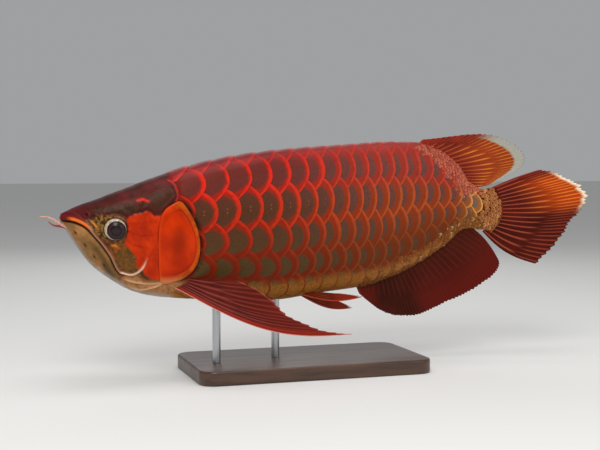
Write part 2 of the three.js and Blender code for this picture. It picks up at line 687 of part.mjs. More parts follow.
function buildArowana() {
  const group = new THREE.Group();
  const put = (...mesh) => group.add(finish(...mesh));
  const gillCutters = [1, -1].map((side) => gillPlate(side, SLANT_GAP, GILL_CUT));
  const [head, jaw] = buildHeadAndJaw(gillCutters);
  put("head", head, 0x7a2a24, 0.42);
  put("lower_jaw", jaw, 0xa58560, 0.42);

  let trunk = scaledTrunk().intersect(regionBehind(NAPE)).intersect(regionAhead(TAIL_ARC));
  for (const cutter of gillCutters) trunk = trunk.subtract(cutter);
  const vent = [[VENT_X, 200], [VENT_X, 80]];
  put("torso", trunk.intersect(regionAhead(vent, GAP)), 0xa8301c, 0.38);
  put("tail_stalk", trunk.intersect(regionBehind(vent)), 0xb5622e, 0.38);

  [["left", 1], ["right", -1]].forEach(([name, side]) => {
    put(`gill_cover_${name}`, gillPlate(side, 0, 0), 0xd8400f, 0.35);
    put(`eye_${name}`, eyeball(side), 0x3a3234, 0.12);
  });

  const skinZone = scaledTrunk(SLANT_GAP);
  const chin = headShell(GAP);
  put("barbel_left", barbel(LEFT_BARBEL).subtract(chin), 0xd9a58c, 0.45);
  put("barbel_right", barbel(RIGHT_BARBEL).subtract(chin), 0x9c3a30, 0.45);

  put("pectoral_fin_left", sideFin(PECTORAL, 8).subtract(skinZone), 0x8a2320, 0.4);
  put("pectoral_fin_right", sideFin(PECTORAL, 8, acrossShoulder).subtract(skinZone), 0x8a2320, 0.4);
  put("pelvic_fin_left", sideFin(LEFT_PELVIC, 5).subtract(skinZone), 0x8a2a22, 0.4);
  put("pelvic_fin_right", sideFin(RIGHT_PELVIC, 5).subtract(skinZone), 0x8a2a22, 0.4);
  put("dorsal_fin", middleFin(DORSAL, 5, RAY_ROOT).subtract(skinZone), 0x9c3020, 0.4);
  put("anal_fin", middleFin(ANAL, 4, RAY_ROOT).subtract(skinZone), 0x7d1f1a, 0.4);
  const stalkZone = regionAhead(TAIL_ARC, -SLANT_GAP);
  put("caudal_fin", middleFin(CAUDAL, 6, 3.4).subtract(stalkZone), 0x8f2a1e, 0.4);

  put("stand_base", standBase(), 0x4a3222, 0.45);
  ["front", "rear"].forEach((name, i) => {
    put(`stand_rod_${name}`, standRod(ROD_X[i]).subtract(skinZone), 0xb9bcc0, 0.3, 0.9);
  });
  return group;
}

export default buildArowana();
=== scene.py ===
import math

import bmesh
import bpy
import numpy as np
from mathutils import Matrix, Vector


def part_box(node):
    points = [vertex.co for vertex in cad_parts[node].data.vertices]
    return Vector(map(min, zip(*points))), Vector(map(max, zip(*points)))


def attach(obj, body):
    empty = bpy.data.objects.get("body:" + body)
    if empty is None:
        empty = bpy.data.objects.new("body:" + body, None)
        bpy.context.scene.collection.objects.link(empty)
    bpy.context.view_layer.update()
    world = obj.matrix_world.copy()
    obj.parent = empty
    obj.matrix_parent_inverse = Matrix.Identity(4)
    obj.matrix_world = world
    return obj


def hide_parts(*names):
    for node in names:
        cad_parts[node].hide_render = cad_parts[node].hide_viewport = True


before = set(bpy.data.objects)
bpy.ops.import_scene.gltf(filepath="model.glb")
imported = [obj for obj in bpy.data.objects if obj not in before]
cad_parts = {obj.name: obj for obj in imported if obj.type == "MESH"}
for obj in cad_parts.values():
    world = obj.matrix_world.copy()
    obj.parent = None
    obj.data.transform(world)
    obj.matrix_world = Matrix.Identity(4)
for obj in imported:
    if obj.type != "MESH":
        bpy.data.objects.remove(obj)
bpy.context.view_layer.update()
mm = 0.001


# Curves
def smoothCurve(points):
    px, py = np.array(points, float).T
    run = np.diff(px)
    grade = np.diff(py) / run
    slopes = np.concatenate([grade[:1], np.zeros(len(px) - 2), grade[-1:]])
    for i in range(1, len(px) - 1):
        before, after = grade[i - 1], grade[i]
        if before * after > 0:
            wa = 2 * run[i] + run[i - 1]
            wb = run[i] + 2 * run[i - 1]
            slopes[i] = (wa + wb) / (wa / before + wb / after)

    def at(x):
        x = np.asarray(x, float)
        i = np.clip(np.searchsorted(px, x) - 1, 0, len(run) - 1)
        t = (x - px[i]) / run[i]
        s = 1 - t
        inside = s * s * (1 + 2 * t) * py[i] + t * t * (1 + 2 * s) * py[i + 1]
        inside = inside + run[i] * t * s * (s * slopes[i] - t * slopes[i + 1])
        inside = np.where(x < px[0], py[0] + slopes[0] * (x - px[0]), inside)
        return np.where(x > px[-1], py[-1] + slopes[-1] * (x - px[-1]), inside)

    return at


# A curve through points in space, read at shares from 0 to 1 of its spans
def throughPoints(points, closed=False):
    p = np.array([list(q) for q in points], float)
    if closed:
        ring = np.concatenate([p[-1:], p, p[:2]])
    else:
        ring = np.concatenate([2 * p[:1] - p[1:2], p, 2 * p[-1:] - p[-2:-1]])
    spans = len(ring) - 3
    reach = np.maximum(np.sqrt(np.linalg.norm(np.diff(ring, axis=0), axis=1)), 1e-4)

    def at(share):
        place = np.clip(np.asarray(share, float), 0, 1) * spans
        i = np.minimum(place.astype(int), spans - 1)
        w = (place - i)[..., None]
        a, b, c, d = ring[i], ring[i + 1], ring[i + 2], ring[i + 3]
        ra, rb, rc = reach[i][..., None], reach[i + 1][..., None], reach[i + 2][..., None]
        ta = rb * ((b - a) / ra - (c - a) / (ra + rb) + (c - b) / rb)
        tb = rb * ((c - b) / rb - (d - b) / (rb + rc) + (d - c) / rc)
        return b + w * (ta + w * (3 * (c - b) - 2 * ta - tb + w * (2 * (b - c) + ta + tb)))

    return at


# The same for a flat line, whose points are x and z
def flatCurve(line, closed=False):
    return throughPoints([[x, 0, z] for x, z in line], closed)


def smoothLine(line, count):
    return flatCurve(line)(np.linspace(0, 1, count))[:, [0, 2]]


def step(x, low, high):
    t = np.clip((np.asarray(x, float) - low) / (high - low), 0, 1)
    return t * t * (3 - 2 * t)


def blend(a, b, share):
    return a + (b - a) * share


def unit(vectors):
    return vectors / np.maximum(np.linalg.norm(vectors, axis=-1, keepdims=True), 1e-12)


def bell(distance, width):
    return np.exp(-(distance / width) ** 2)


def strongest(masks):
    return np.max(list(masks), axis=0)


# Even, repeatable noise from a few waves
def ripple(*coordinates):
    total = 0
    for i, waves in enumerate(((1.0, 1.7), (2.3, 0.9), (4.1, 3.3))):
        turn = sum(c * w * (1 + 0.37 * k) for k, (c, w) in enumerate(zip(coordinates, waves)))
        total = total + np.sin(turn * (1 + i) + 1.3 * i) / (1 + i)
    return total / 1.8


# Body form, as in the construction
body = {
    "sway": smoothCurve([[-290, -11], [-225, -19], [-150, -21], [-70, -7], [10, 10], [85, 18], [135, 16],
                         [185, 6], [240, -9], [290, -23], [320, -31]]),
    "back": smoothCurve([[-240, 161], [-232, 165.5], [-205, 175.5], [-177, 186], [-148, 196.7],
                         [-109, 207.6], [-66, 215.9], [-22, 221.1], [34, 225.5], [124, 230.5], [141, 228],
                         [157, 220], [174, 206], [186, 188], [200, 181], [225, 184.5]]),
    "belly": smoothCurve([[-240, 153.4], [-232.4, 139.6], [-223.5, 126.5], [-214.4, 114.2], [-196, 99.7],
                          [-177, 88.6], [-158, 83], [-129, 79.2], [-67, 73.6], [-30, 71.6], [23, 76.2],
                          [70, 80.5], [91, 86], [113, 94], [136, 105.5], [160, 121], [184, 139.5],
                          [204, 138], [225, 133]]),
    "half": smoothCurve([[-240, 3.5], [-230, 12.5], [-205, 20], [-170, 25], [-110, 28.5], [-40, 29.5],
                         [40, 28.5], [100, 24], [150, 16], [185, 9.5], [205, 6], [232, 3]]),
    "level": smoothCurve([[-240, 0.5], [-200, 0.64], [-150, 0.64], [-100, 0.6], [100, 0.6], [230, 0.5]]),
    "upper": smoothCurve([[-240, 2.2], [-190, 2.8], [-130, 2.5], [100, 2.4], [230, 2.2]]),
    "lower": smoothCurve([[-240, 2], [-190, 1.75], [-130, 1.9], [230, 2]]),
}
snout = {"x": -239.3, "reach": 1.6}
# Where the tail fin begins, as x at a height, and how the skin thins towards it
tailArc = smoothCurve([[120, 196], [131, 203], [138, 210], [147, 217.5], [158, 221], [168, 219.5],
                       [178, 214.5], [188, 208], [200, 205]])
tailTaper = {"fromX": 185, "length": 16}


def sectionLevels(x):
    top, bottom = body["back"](x), body["belly"](x)
    return top, bottom, bottom + (top - bottom) * body["level"](x)


def sectionPoint(x, angle):
    top, bottom, level = sectionLevels(x)
    c, s = np.cos(angle), np.sin(angle)
    power = 2 / np.where(c > 0, body["upper"](x), body["lower"](x))
    rise = np.where(c > 0, top - level, level - bottom) * np.sign(c) * np.abs(c) ** power
    out = body["half"](x) * np.sign(s) * np.abs(s) ** power
    return np.stack([np.broadcast_to(x, out.shape), body["sway"](x) - out, level + rise], -1)


def bodyNormal(x, angle):
    alongBody = sectionPoint(x + 1, angle) - sectionPoint(x - 1, angle)
    roundBody = sectionPoint(x, angle + 0.02) - sectionPoint(x, angle - 0.02)
    return unit(np.cross(roundBody, alongBody))


def bodyPoint(x, angle, lift=0.0):
    x, angle = np.broadcast_arrays(np.asarray(x, float), np.asarray(angle, float))
    lift = np.broadcast_to(np.asarray(lift, float), x.shape)
    return sectionPoint(x, angle) + bodyNormal(x, angle) * lift[..., None]


# A body point thinned to the tail fin's own thickness along the arc where the fin begins
def skinPoint(x, angle, lift, thin=0.9):
    points = bodyPoint(x, angle, lift)
    middle = body["sway"](points[..., 0])
    out = points[..., 1] - middle
    over = points[..., 0] - tailArc(points[..., 2])
    share = np.sqrt(np.clip(-over / tailTaper["length"], 0, 1))
    narrow = np.sign(out) * (thin + (np.abs(out) - thin) * share)
    nearTail = (points[..., 0] > tailTaper["fromX"]) & (np.abs(out) > thin)
    points[..., 1] = middle + np.where(nearTail, narrow, out)
    return points


# The angle at which the section at x has the height z; side is 1 on the left and -1 on the right
def angleAt(x, z, side):
    top, bottom, level = sectionLevels(x)
    over = z > level
    share = np.clip(np.where(over, (z - level) / (top - level), (level - z) / (level - bottom)), 0, 1)
    c = share ** (np.where(over, body["upper"](x), body["lower"](x)) / 2)
    return side * np.arccos(np.where(over, c, -c))


# Distances in side view
def segments(line):
    p = np.array(line, float)
    return zip(p[:-1], p[1:])


# Distance to a line, share of its length at the nearest point, and the side: above zero is its left
def lineDistance(x, z, line):
    best = np.full(np.shape(x), 1e9)
    share, hand = np.zeros(np.shape(x)), np.zeros(np.shape(x))
    spans = list(segments(line))
    whole = sum(np.hypot(*(b - a)) for a, b in spans)
    gone = 0
    for a, b in spans:
        d = b - a
        size = np.hypot(*d)
        t = np.clip(((x - a[0]) * d[0] + (z - a[1]) * d[1]) / size ** 2, 0, 1)
        gap = np.hypot(x - a[0] - t * d[0], z - a[1] - t * d[1])
        turn = np.sign(d[0] * (z - a[1]) - d[1] * (x - a[0]))
        nearer = gap < best
        best = np.where(nearer, gap, best)
        share = np.where(nearer, (gone + t * size) / whole, share)
        hand = np.where(nearer, turn, hand)
        gone += size
    return best, share, hand


# Distance to a closed outline, above zero inside
def insideDistance(x, z, outline):
    ring = list(outline) + [outline[0]]
    gap = lineDistance(x, z, ring)[0]
    inside = np.zeros(np.shape(x), bool)
    for a, b in segments(ring):
        crosses = (a[1] > z) != (b[1] > z)
        rise = b[1] - a[1] if b[1] != a[1] else 1e-9
        inside ^= crosses & (x < (b[0] - a[0]) * (z - a[1]) / rise + a[0])
    return np.where(inside, gap, -gap)


# Meshes
def newGrid(columns, rows):
    bm = bmesh.new()
    bmesh.ops.create_grid(bm, x_segments=columns, y_segments=rows, size=0.5)
    flat = np.array([v.co[:2] for v in bm.verts]) + 0.5
    return bm, np.clip(flat[:, 0], 0, 1), np.clip(flat[:, 1], 0, 1)


# Places a grid's vertices, with their attributes and the bake's map, and joins the edges that meet
def shapeGrid(bm, points, attributes, bakeMap):
    layers = {name: bm.verts.layers.float.new(name) for name in attributes}
    uvLayer = bm.loops.layers.uv.new("OFBake")
    for face in bm.faces:
        for loop in face.loops:
            loop[uvLayer].uv = bakeMap[loop.vert.index]
    for vertex, point in zip(bm.verts, points * mm):
        vertex.co = point
    for name, layer in layers.items():
        for vertex, value in zip(bm.verts, np.broadcast_to(attributes[name], len(points))):
            vertex[layer] = value
    bmesh.ops.remove_doubles(bm, verts=bm.verts, dist=0.004 * mm)
    bmesh.ops.dissolve_degenerate(bm, edges=bm.edges, dist=0.002 * mm)
    bmesh.ops.recalc_face_normals(bm, faces=bm.faces)


def stripMap(u, v, margin=0.01):
    return margin + (1 - 2 * margin) * np.stack([u, v], -1)


def discMap(turn, share):
    return 0.5 + 0.48 * share[:, None] * np.stack([np.cos(turn), np.sin(turn)], -1)


def showObject(name, data):
    made = bpy.data.objects.new(name, data)
    bpy.context.scene.collection.objects.link(made)
    return made


def finishPiece(name, mesh, material, nodes=(), sharpAngle=None):
    mesh.polygons.foreach_set("use_smooth", [True] * len(mesh.polygons))
    if sharpAngle:
        mesh.set_sharp_from_angle(angle=math.radians(sharpAngle))
    mesh.materials.append(material)
    piece = showObject(name, mesh)
    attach(piece, "root")
    if nodes:
        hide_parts(*nodes)
    print(f"{name}: {len(mesh.polygons)} faces")


def addPiece(name, bm, material, nodes, sharpAngle=None):
    mesh = bpy.data.meshes.new(name)
    bm.to_mesh(mesh)
    bm.free()
    finishPiece(name, mesh, material, nodes, sharpAngle)


# Puts a constant or a wire into a socket
def feed(socket, value):
    if isinstance(value, Wire):
        value.tree.links.new(value.socket, socket)
    else:
        socket.default_value = value


# A socket of a material's node tree, with the sums that the finishes use
class Wire:
    def __init__(self, tree, socket=None):
        self.tree, self.socket = tree, socket

    def node(self, kind, settings, sockets, output=0):
        made = self.tree.nodes.new(kind)
        for key, value in settings.items():
            setattr(made, key, value)
        for key, value in sockets.items():
            feed(made.inputs[key], value)
        return Wire(self.tree, made.outputs[output])

    def sum(self, operation, a, b=0.0):
        return self.node("ShaderNodeMath", {"operation": operation}, {0: a, 1: b})

    def __add__(self, other):
        return self.sum("ADD", self, other)

    def __sub__(self, other):
        return self.sum("SUBTRACT", self, other)

    def __rsub__(self, other):
        return self.sum("SUBTRACT", other, self)

    def __mul__(self, other):
        return self.sum("MULTIPLY", self, other)

    def __truediv__(self, other):
        return self.sum("DIVIDE", self, other)

    def __rtruediv__(self, other):
        return self.sum("DIVIDE", other, self)

    __radd__ = __add__
    __rmul__ = __mul__

    def absolute(self):
        return self.sum("ABSOLUTE", self)

    def sine(self):
        return self.sum("SINE", self)

    # 0 below low and 1 above high, with a soft way between; a low above high turns it round
    def between(self, low, high):
        return self.node("ShaderNodeMapRange", {"interpolation_type": "SMOOTHSTEP"},
                         {"Value": self, "From Min": low, "From Max": high})


def rgb(red, green, blue):
    values = [c / 255 for c in (red, green, blue)]
    return tuple(c / 12.92 if c <= 0.04045 else ((c + 0.055) / 1.055) ** 2.4 for c in values) + (1.0,)


# A material with its output made; finishes set its sockets, whose names have _ for a space
class Finish:
    def __init__(self, name, **constants):
        self.material = bpy.data.materials.new(name)
        self.material.use_nodes = True
        self.shader = self.material.node_tree.nodes["Principled BSDF"]
        self.wire = Wire(self.material.node_tree)
        self.set(**constants)

    def set(self, **sockets):
        for key, value in sockets.items():
            feed(self.shader.inputs[key.replace("_", " ")], value)

    def place(self):
        return self.wire.node("ShaderNodeTexCoord", {}, {}, "Object")

    def attribute(self, name):
        return self.wire.node("ShaderNodeAttribute", {"attribute_name": name}, {}, "Fac")

    def stretched(self, scale):
        return self.wire.node("ShaderNodeMapping", {}, {"Vector": self.place(), "Scale": scale})

    def noise(self, scale, detail=3.0, roughness=0.55, where=None):
        return self.wire.node("ShaderNodeTexNoise", {}, {"Vector": where or self.place(), "Scale": scale,
                                                         "Detail": detail, "Roughness": roughness})

    def cells(self, scale):
        return self.wire.node("ShaderNodeTexVoronoi", {}, {"Vector": self.place(), "Scale": scale})

    # A mix node's colour sockets go by number, because its sockets share their names
    def mix(self, share, a, b):
        return self.wire.node("ShaderNodeMix", {"data_type": "RGBA"}, {0: share, 6: a, 7: b}, 2)

    # Colours laid over a tone one after another, each with its share
    def layers(self, tone, *layers):
        for share, colour in layers:
            tone = self.mix(share, tone, colour)
        return tone

    def bump(self, height, strength, depth):
        sockets = {"Strength": strength, "Distance": depth * mm, "Height": height}
        self.set(Normal=self.wire.node("ShaderNodeBump", {}, sockets))


# Lines and areas of the head in side view, as x and z
head = {
    "mouth": [[-250, 154.6], [-238.6, 154.5], [-231.7, 153.9], [-223.2, 150.4], [-218.1, 146.4],
              [-213.7, 141.1], [-207.5, 133.8], [-202.1, 126.4], [-198.4, 120.7], [-195.4, 114.4],
              [-192, 108.2], [-186.5, 102.6]],
    "lipTop": [[-241, 163], [-236.3, 163.4], [-231.5, 163.1], [-226.5, 160.5], [-221.5, 156],
               [-218.1, 150.5]],
    "preopercle": [[-190, 107.4], [-186, 106.2], [-179, 104.4], [-173.5, 106.2], [-168.5, 111.5],
                   [-165, 119.5], [-161, 127.8], [-158, 137], [-157.6, 149], [-158.4, 158]],
    "cheek": [[-183.5, 157.5], [-176.3, 161.2], [-169.1, 162.1], [-165.4, 164.2], [-162.7, 162.4],
              [-158.2, 159.2], [-153.7, 159.2], [-149, 162.8], [-144, 167.5], [-128, 168], [-112, 140],
              [-122, 104], [-146, 98.5], [-160, 99.5], [-167, 105], [-170, 110], [-174.5, 112],
              [-175.4, 121.5], [-180.9, 128.1], [-185.5, 134.5], [-184, 140], [-182.8, 148]],
    "olive": [[-197, 131.5], [-189.9, 132.5], [-180.9, 128.1], [-175.4, 121.5], [-174.6, 113],
              [-177.4, 106.3], [-184, 107.5], [-190, 110], [-193.5, 117], [-197.5, 125]],
    "patch": [[-171.5, 165], [-170.5, 172], [-163, 178], [-152, 185], [-142, 185.5], [-138.5, 178],
              [-145, 171], [-152, 165], [-158, 162.5], [-165, 168]],
    "streak": [[-173.4, 173.4], [-169, 174.6], [-164.2, 172.8]],
    "mottle": [[-226, 150], [-220, 156], [-210, 160], [-203, 160.5], [-196, 160], [-186, 158], [-184, 150],
               [-185, 140], [-186, 134], [-196, 133], [-203, 135], [-209, 141], [-216, 147]],
    "brow": [[-214, 163], [-205, 161], [-195, 160.5], [-184, 160], [-174, 163.5], [-170, 168], [-180, 172],
             [-198, 170], [-212, 167]],
    "glints": [[[-217, 156.5], [-212.5, 152], [-208.5, 146.5]],
               [[-198, 131.8], [-194.5, 132.8], [-191.5, 130]]],
    "nape": [[-144.4, 192], [-139.2, 188.5], [-136.9, 183], [-136.4, 177.4], [-138.5, 172]],
    "membranes": [[[-186.5, 101.3], [-179.3, 98.4], [-170.3, 96.4], [-161.2, 95.4], [-150, 96.5]],
                  [[-180, 92.5], [-169.4, 89.7], [-160.7, 90.8], [-152.7, 93.6], [-147.4, 97.5]]],
    "creases": [[[-184, 153], [-174, 151.5], [-162, 154.5]], [[-184.5, 146], [-172, 141], [-160, 141.5]],
                [[-186, 138.5], [-176, 132], [-164, 129.5]], [[-158.4, 124], [-152, 121], [-147, 122.5]]],
    "jawPores": [[-229, 144], [-220.5, 132.5], [-212, 121.5], [-203, 113]],
    "jawCrease": [[-229, 141.5], [-222, 131], [-213.5, 119], [-203, 108], [-190, 98.5]],
    "nostrils": [[-219.5, 160.5], [-212.5, 158.5]],
}
for key in ("mouth", "lipTop", "preopercle", "nape"):
    head[key] = smoothLine(head[key], 32)
head["membranes"] = [smoothLine(line, 16) for line in head["membranes"]]
# How softly each area of colour ends: distances from its outline where it starts and where it is full
areas = {"cheek": (-0.9, 1.1), "olive": (-2.2, 3.2), "mottle": (-1.5, 2.5), "brow": (-2.5, 3.5),
         "patch": (-2.5, 4.5)}
# How far the head's features stand out of the skin, below zero where they are cut in
relief = {"upperLip": 1.3, "lowerLip": 0.9, "mouthLine": -2.2, "lipTip": 0.7, "eyeRim": 1.15,
          "roundEye": -0.5, "eyeSocket": -4.5, "nostrilRim": 0.7, "nostril": -1.4, "preopercle": 1.0,
          "underPreopercle": -0.7, "cheek": 0.7, "crease": -0.25, "membrane": 0.8, "underMembrane": -0.9,
          "glint": 0.4, "nape": 0.5, "patch": 0.25, "jawPore": -0.9, "jawCrease": -0.5, "underGill": -3.2,
          "gillGroove": -1.3}
skinGrid = {"around": 384, "noseRings": 8, "headRings": 150, "trunkRings": 62, "headEnd": -110,
            "trunkEnd": 224, "waves": 0.175, "underScales": 0.9}
eye = {"x": -194, "z": 147.2, "radius": 10.4, "dome": 16, "depth": 6, "frontShare": 0.8, "sink": 0.15,
       "pupilRise": 0.25, "ringDip": 0.35}
gill = {
    "edge": [[-150.2, 95.3], [-138.5, 96.8], [-126.2, 102.3], [-118.6, 111.5], [-115.3, 126.6],
             [-117, 142], [-121.5, 154.5], [-128.5, 166.4], [-134.7, 172.8], [-142, 170], [-150.5, 163],
             [-154.3, 150], [-155.2, 137], [-154.4, 121], [-153.2, 106]],
    "middle": [-136, 134],
    "waves": 0.14,
    "rearRoll": 0.35,
    # Along the plate's section: place, share of the way from the middle to the edge, and height
    "profile": np.array([[0, 0, 2.1], [0.42, 0.4, 2.0], [0.6, 0.72, 1.55], [0.68, 0.795, 1.0],
                         [0.74, 0.85, 1.5], [0.86, 0.965, 1.45], [0.9, 1.0, 0.75], [0.93, 0.995, -0.2],
                         [0.96, 0.96, -1.6], [1, 0, -3]]),
}
# The front edge of the scaled body, in side view
napeLine = [[-148, 240], [-146, 205], [-144, 191], [-138.8, 187], [-136.6, 180], [-137.5, 172],
            [-137.5, 110], [-144.5, 97], [-144.5, 60]]
# Settings that the shiny skins share
softShine = {"Specular_IOR_Level": 0.2}


def gillOutline(count):
    fine = flatCurve(gill["edge"], closed=True)(np.linspace(0, 1, 1201))
    reach = np.concatenate([[0], np.cumsum(np.linalg.norm(np.diff(fine, axis=0), axis=1))])
    even = np.linspace(0, reach[-1], count + 1)[:-1]
    return np.stack([np.interp(even, reach, fine[:, 0]), np.interp(even, reach, fine[:, 2])], -1)


gillRing = gillOutline(48)


# Lift of the head's skin and its markings, in side view; openness is 0 along the middle line
def headRelief(x, z, openness):
    mouthGap, mouthShare, mouthHand = lineDistance(x, z, head["mouth"])
    mouthSide = mouthGap * mouthHand
    lipWidth = blend(4.4, 2.1, step(mouthShare, 0.34, 0.46))
    ends = 1 - step(mouthShare, 0.93, 1.0)
    upperLip = bell(mouthSide - 0.6 - lipWidth / 2, lipWidth * 0.52) * ends
    lowerLip = bell(mouthSide + 2.2, 1.7) * ends
    lift = relief["upperLip"] * upperLip + relief["lowerLip"] * lowerLip
    lift += relief["mouthLine"] * bell(mouthGap, 0.75) * ends
    lipTopGap, _, lipTopHand = lineDistance(x, z, head["lipTop"])
    lipTip = step(-lipTopGap * lipTopHand, -0.9, 0.9) * step(mouthSide, 0, 1.5) * step(-x, 216, 222)
    lift += relief["lipTip"] * lipTip * openness
    fromEye = np.hypot(x - eye["x"], z - eye["z"]) - eye["radius"]
    lift += relief["eyeRim"] * bell(fromEye - 1.0, 1.1) + relief["roundEye"] * bell(fromEye - 4.2, 1.6)
    lift += relief["eyeSocket"] * (1 - step(fromEye, -0.7, 0.25))
    for nx, nz in head["nostrils"]:
        gap = np.hypot(x - nx, z - nz)
        lift += relief["nostrilRim"] * bell(gap - 2.2, 0.8) + relief["nostril"] * bell(gap, 1.2)
    ridgeGap, ridgeShare, ridgeHand = lineDistance(x, z, head["preopercle"])
    lift += relief["preopercle"] * bell(ridgeGap, 1.1) * step(ridgeShare, 0, 0.08) * (1 - 0.5 * ridgeShare)
    under = bell(ridgeGap * ridgeHand + 2.4, 1.1) * (1 - step(ridgeShare, 0.9, 1))
    lift += relief["underPreopercle"] * under
    lift += relief["cheek"] * step(insideDistance(x, z, head["cheek"]), -0.6, 0.9)
    crease = strongest(bell(lineDistance(x, z, line)[0], 0.8) for line in head["creases"])
    lift += relief["crease"] * crease
    membranes = []
    for line in head["membranes"]:
        gap, share, hand = lineDistance(x, z, line)
        lift += relief["membrane"] * bell(gap - 0.6, 1.4)
        lift += relief["underMembrane"] * bell(gap * hand + 1.6, 0.8)
        membranes.append(bell(gap, 1.0) * step(share, 0, 0.2))
    glints = []
    for line in head["glints"]:
        gap, share, _ = lineDistance(x, z, line)
        glints.append(bell(gap, 0.9) * np.sin(math.pi * np.clip(share, 0.05, 0.95)))
    lift += relief["glint"] * strongest(glints)
    napeGap = lineDistance(x, z, head["nape"])[0]
    lift += relief["nape"] * bell(napeGap, 1.1) * openness
    lift += relief["patch"] * bell(insideDistance(x, z, head["patch"]), 1.2)
    pores = strongest(bell(np.hypot((x - px) + (z - pz) * 0.55, (z - pz) * 0.42 - (x - px) * 0.22), 1.05)
                      for px, pz in head["jawPores"])
    lift += relief["jawPore"] * pores
    lift += relief["jawCrease"] * bell(lineDistance(x, z, head["jawCrease"])[0], 1.0)
    gillIn = insideDistance(x, z, gillRing)
    behindGill = step(x, -136, -128)
    lift += relief["underGill"] * step(gillIn, -0.4, 1.2)
    lift += relief["gillGroove"] * bell(gillIn + 1.2, 1.5) * behindGill
    nearX = x + 0.9 * ripple(x * 0.45, z * 0.5)
    nearZ = z + 0.9 * ripple(z * 0.4 + 3, x * 0.55)
    mouthDark = bell(mouthGap, 0.8) * ends * step(mouthShare, 0.0, 0.05) * openness
    rearward = step(x, -130, -110)
    marks = {key: step(insideDistance(nearX, nearZ, head[key]), *soft) for key, soft in areas.items()}
    marks.update({
        "oliveTop": step(z, 118, 131),
        "underEye": (1 - step(nearZ, 134, 142)) * step(nearX, -206, -198) * step(mouthSide, 1.5, 3.5),
        "jaw": (1 - step(mouthSide, -0.8, 0.4)) * (1 - step(x, -193, -186)),
        "lips": np.clip(upperLip, 0, 1) * openness,
        "lipTip": lipTip,
        "tipGlow": step(-x, 213, 221),
        "lipEnd": step(-x, 230, 236),
        "jawDark": bell(mouthSide + 5.5, 4.0) * step(mouthShare, 0.35, 0.6) * ends,
        # A pale line along the preopercle ridge: partly the skin's own silver, partly a painted highlight
        "silverAndPaintedLight": bell(ridgeGap, 0.8) * step(ridgeShare, 0, 0.05) * (1 - step(ridgeShare, 0.3, 0.5)),
        "glint": strongest(glints),
        # Lines along the gill membranes' crests, which get painted highlights in the throat's colour
        "crease": crease,
        "membrane": strongest(membranes),
        "streak": bell(lineDistance(x, z, head["streak"])[0], 1.2) * openness,
        "nape": bell(napeGap, 0.7) * openness,
        "pores": pores * openness,
        "shade": np.maximum(bell(gillIn + 1.0, 1.6) * behindGill, mouthDark),
        "lowness": 1 - step(z - body["belly"](x), blend(0.2, 4, rearward), blend(5.5, 24, rearward)),
        "throat": step(x, -191, -184) * (1 - step(z + 6 * step(x, -176, -164), 100, 107)),
        "bodySide": step(x, -139, -133) * np.where(z > 172, 1, step(x, -136, -122)),
    })
    return lift, marks


def headFinish():
    finish = Finish("headSkin", Coat_Roughness=0.2, Specular_Tint=rgb(255, 170, 140), **softShine)
    fine = finish.noise(900.0)
    broad = finish.noise(60.0, 4.0, 0.6)
    speck = finish.noise(260.0, 2.0, 0.7)
    mix, mask = finish.mix, finish.attribute
    crown = mix(broad.between(0.35, 0.68), rgb(82, 19, 22), rgb(52, 18, 16))
    crown = mix(speck.between(0.55, 0.8) * 0.3, crown, rgb(104, 32, 32))
    brow = mix(speck.between(0.4, 0.6), rgb(40, 30, 20), rgb(66, 40, 28))
    gold = mix(speck.between(0.42, 0.58), rgb(52, 40, 20), rgb(138, 98, 44))
    patch = mix(speck.between(0.3, 0.7), rgb(40, 34, 16), rgb(66, 32, 22))
    jaw = mix(broad.between(0.35, 0.6), rgb(178, 126, 72), rgb(136, 100, 58))
    jaw = mix(speck.between(0.55, 0.75) * 0.5, jaw, rgb(160, 84, 36))
    jaw = mix(mask("jawDark") * 0.8, jaw, rgb(62, 50, 26))
    underEye = mix(speck.between(0.4, 0.6), rgb(72, 46, 22), rgb(124, 70, 32))
    cheek = mix(broad.between(0.3, 0.7), rgb(206, 52, 4), rgb(160, 32, 3))
    # Painted shade: the cheek darkens along its creases
    cheek = mix(mask("crease") * 0.3, cheek, rgb(120, 12, 4))
    olive = mix(speck.between(0.35, 0.65), rgb(86, 62, 26), rgb(118, 74, 32))
    olive = mix(mask("oliveTop") * (speck + broad).between(0.85, 1.15), olive, rgb(166, 66, 12))
    throat = mix(speck.between(0.3, 0.7), rgb(178, 126, 82), rgb(136, 92, 56))
    # Painted highlights: paler lines along the crests of the gill membranes
    throat = mix(mask("membrane"), throat, rgb(220, 170, 124))
    pale = mix(broad.between(0.3, 0.7), rgb(180, 174, 170), rgb(150, 134, 118))
    # Painted highlight: bright orange along the crest of the upper lip near the snout
    lipHighlight = mix(mask("lips").between(0.45, 1.0), rgb(140, 30, 14), rgb(244, 122, 40))
    lip = mix(mask("tipGlow"), rgb(176, 126, 98), lipHighlight)
    lip = mix(mask("lipEnd"), lip, rgb(110, 22, 18))
    glint = mix(mask("tipGlow"), rgb(214, 130, 50), rgb(222, 186, 150))
    trunk = mix(mask("lowness"), rgb(104, 24, 12), rgb(150, 98, 46))
    skin = finish.layers(
        crown, (mask("brow"), brow), (mask("mottle"), gold), (mask("patch") * 0.9, patch),
        (mask("jaw"), jaw), (mask("underEye"), underEye), (mask("cheek"), cheek), (mask("olive"), olive),
        (mask("throat"), throat),
        (mask("lowness") * (1.0 - mask("bodySide")) * 0.9, pale), (mask("lipTip"), rgb(88, 12, 22)),
        # The silver line along the preopercle is partly a painted highlight
        (mask("lips") * 0.85, lip), (mask("silverAndPaintedLight"), rgb(250, 216, 186)), (mask("glint"), glint),
        (mask("streak"), rgb(212, 30, 14)), (mask("nape") * 0.8, rgb(206, 34, 26)),
        (mask("pores"), rgb(48, 22, 10)), (mask("bodySide"), trunk), (mask("shade") * 0.92, rgb(10, 6, 5)))
    finish.set(Base_Color=skin, Coat_Weight=0.06, Roughness=fine * 0.2 + 0.4)
    finish.bump(fine * 0.5 + finish.cells(420.0) * 0.5, 0.35, 0.4)
    return finish.material


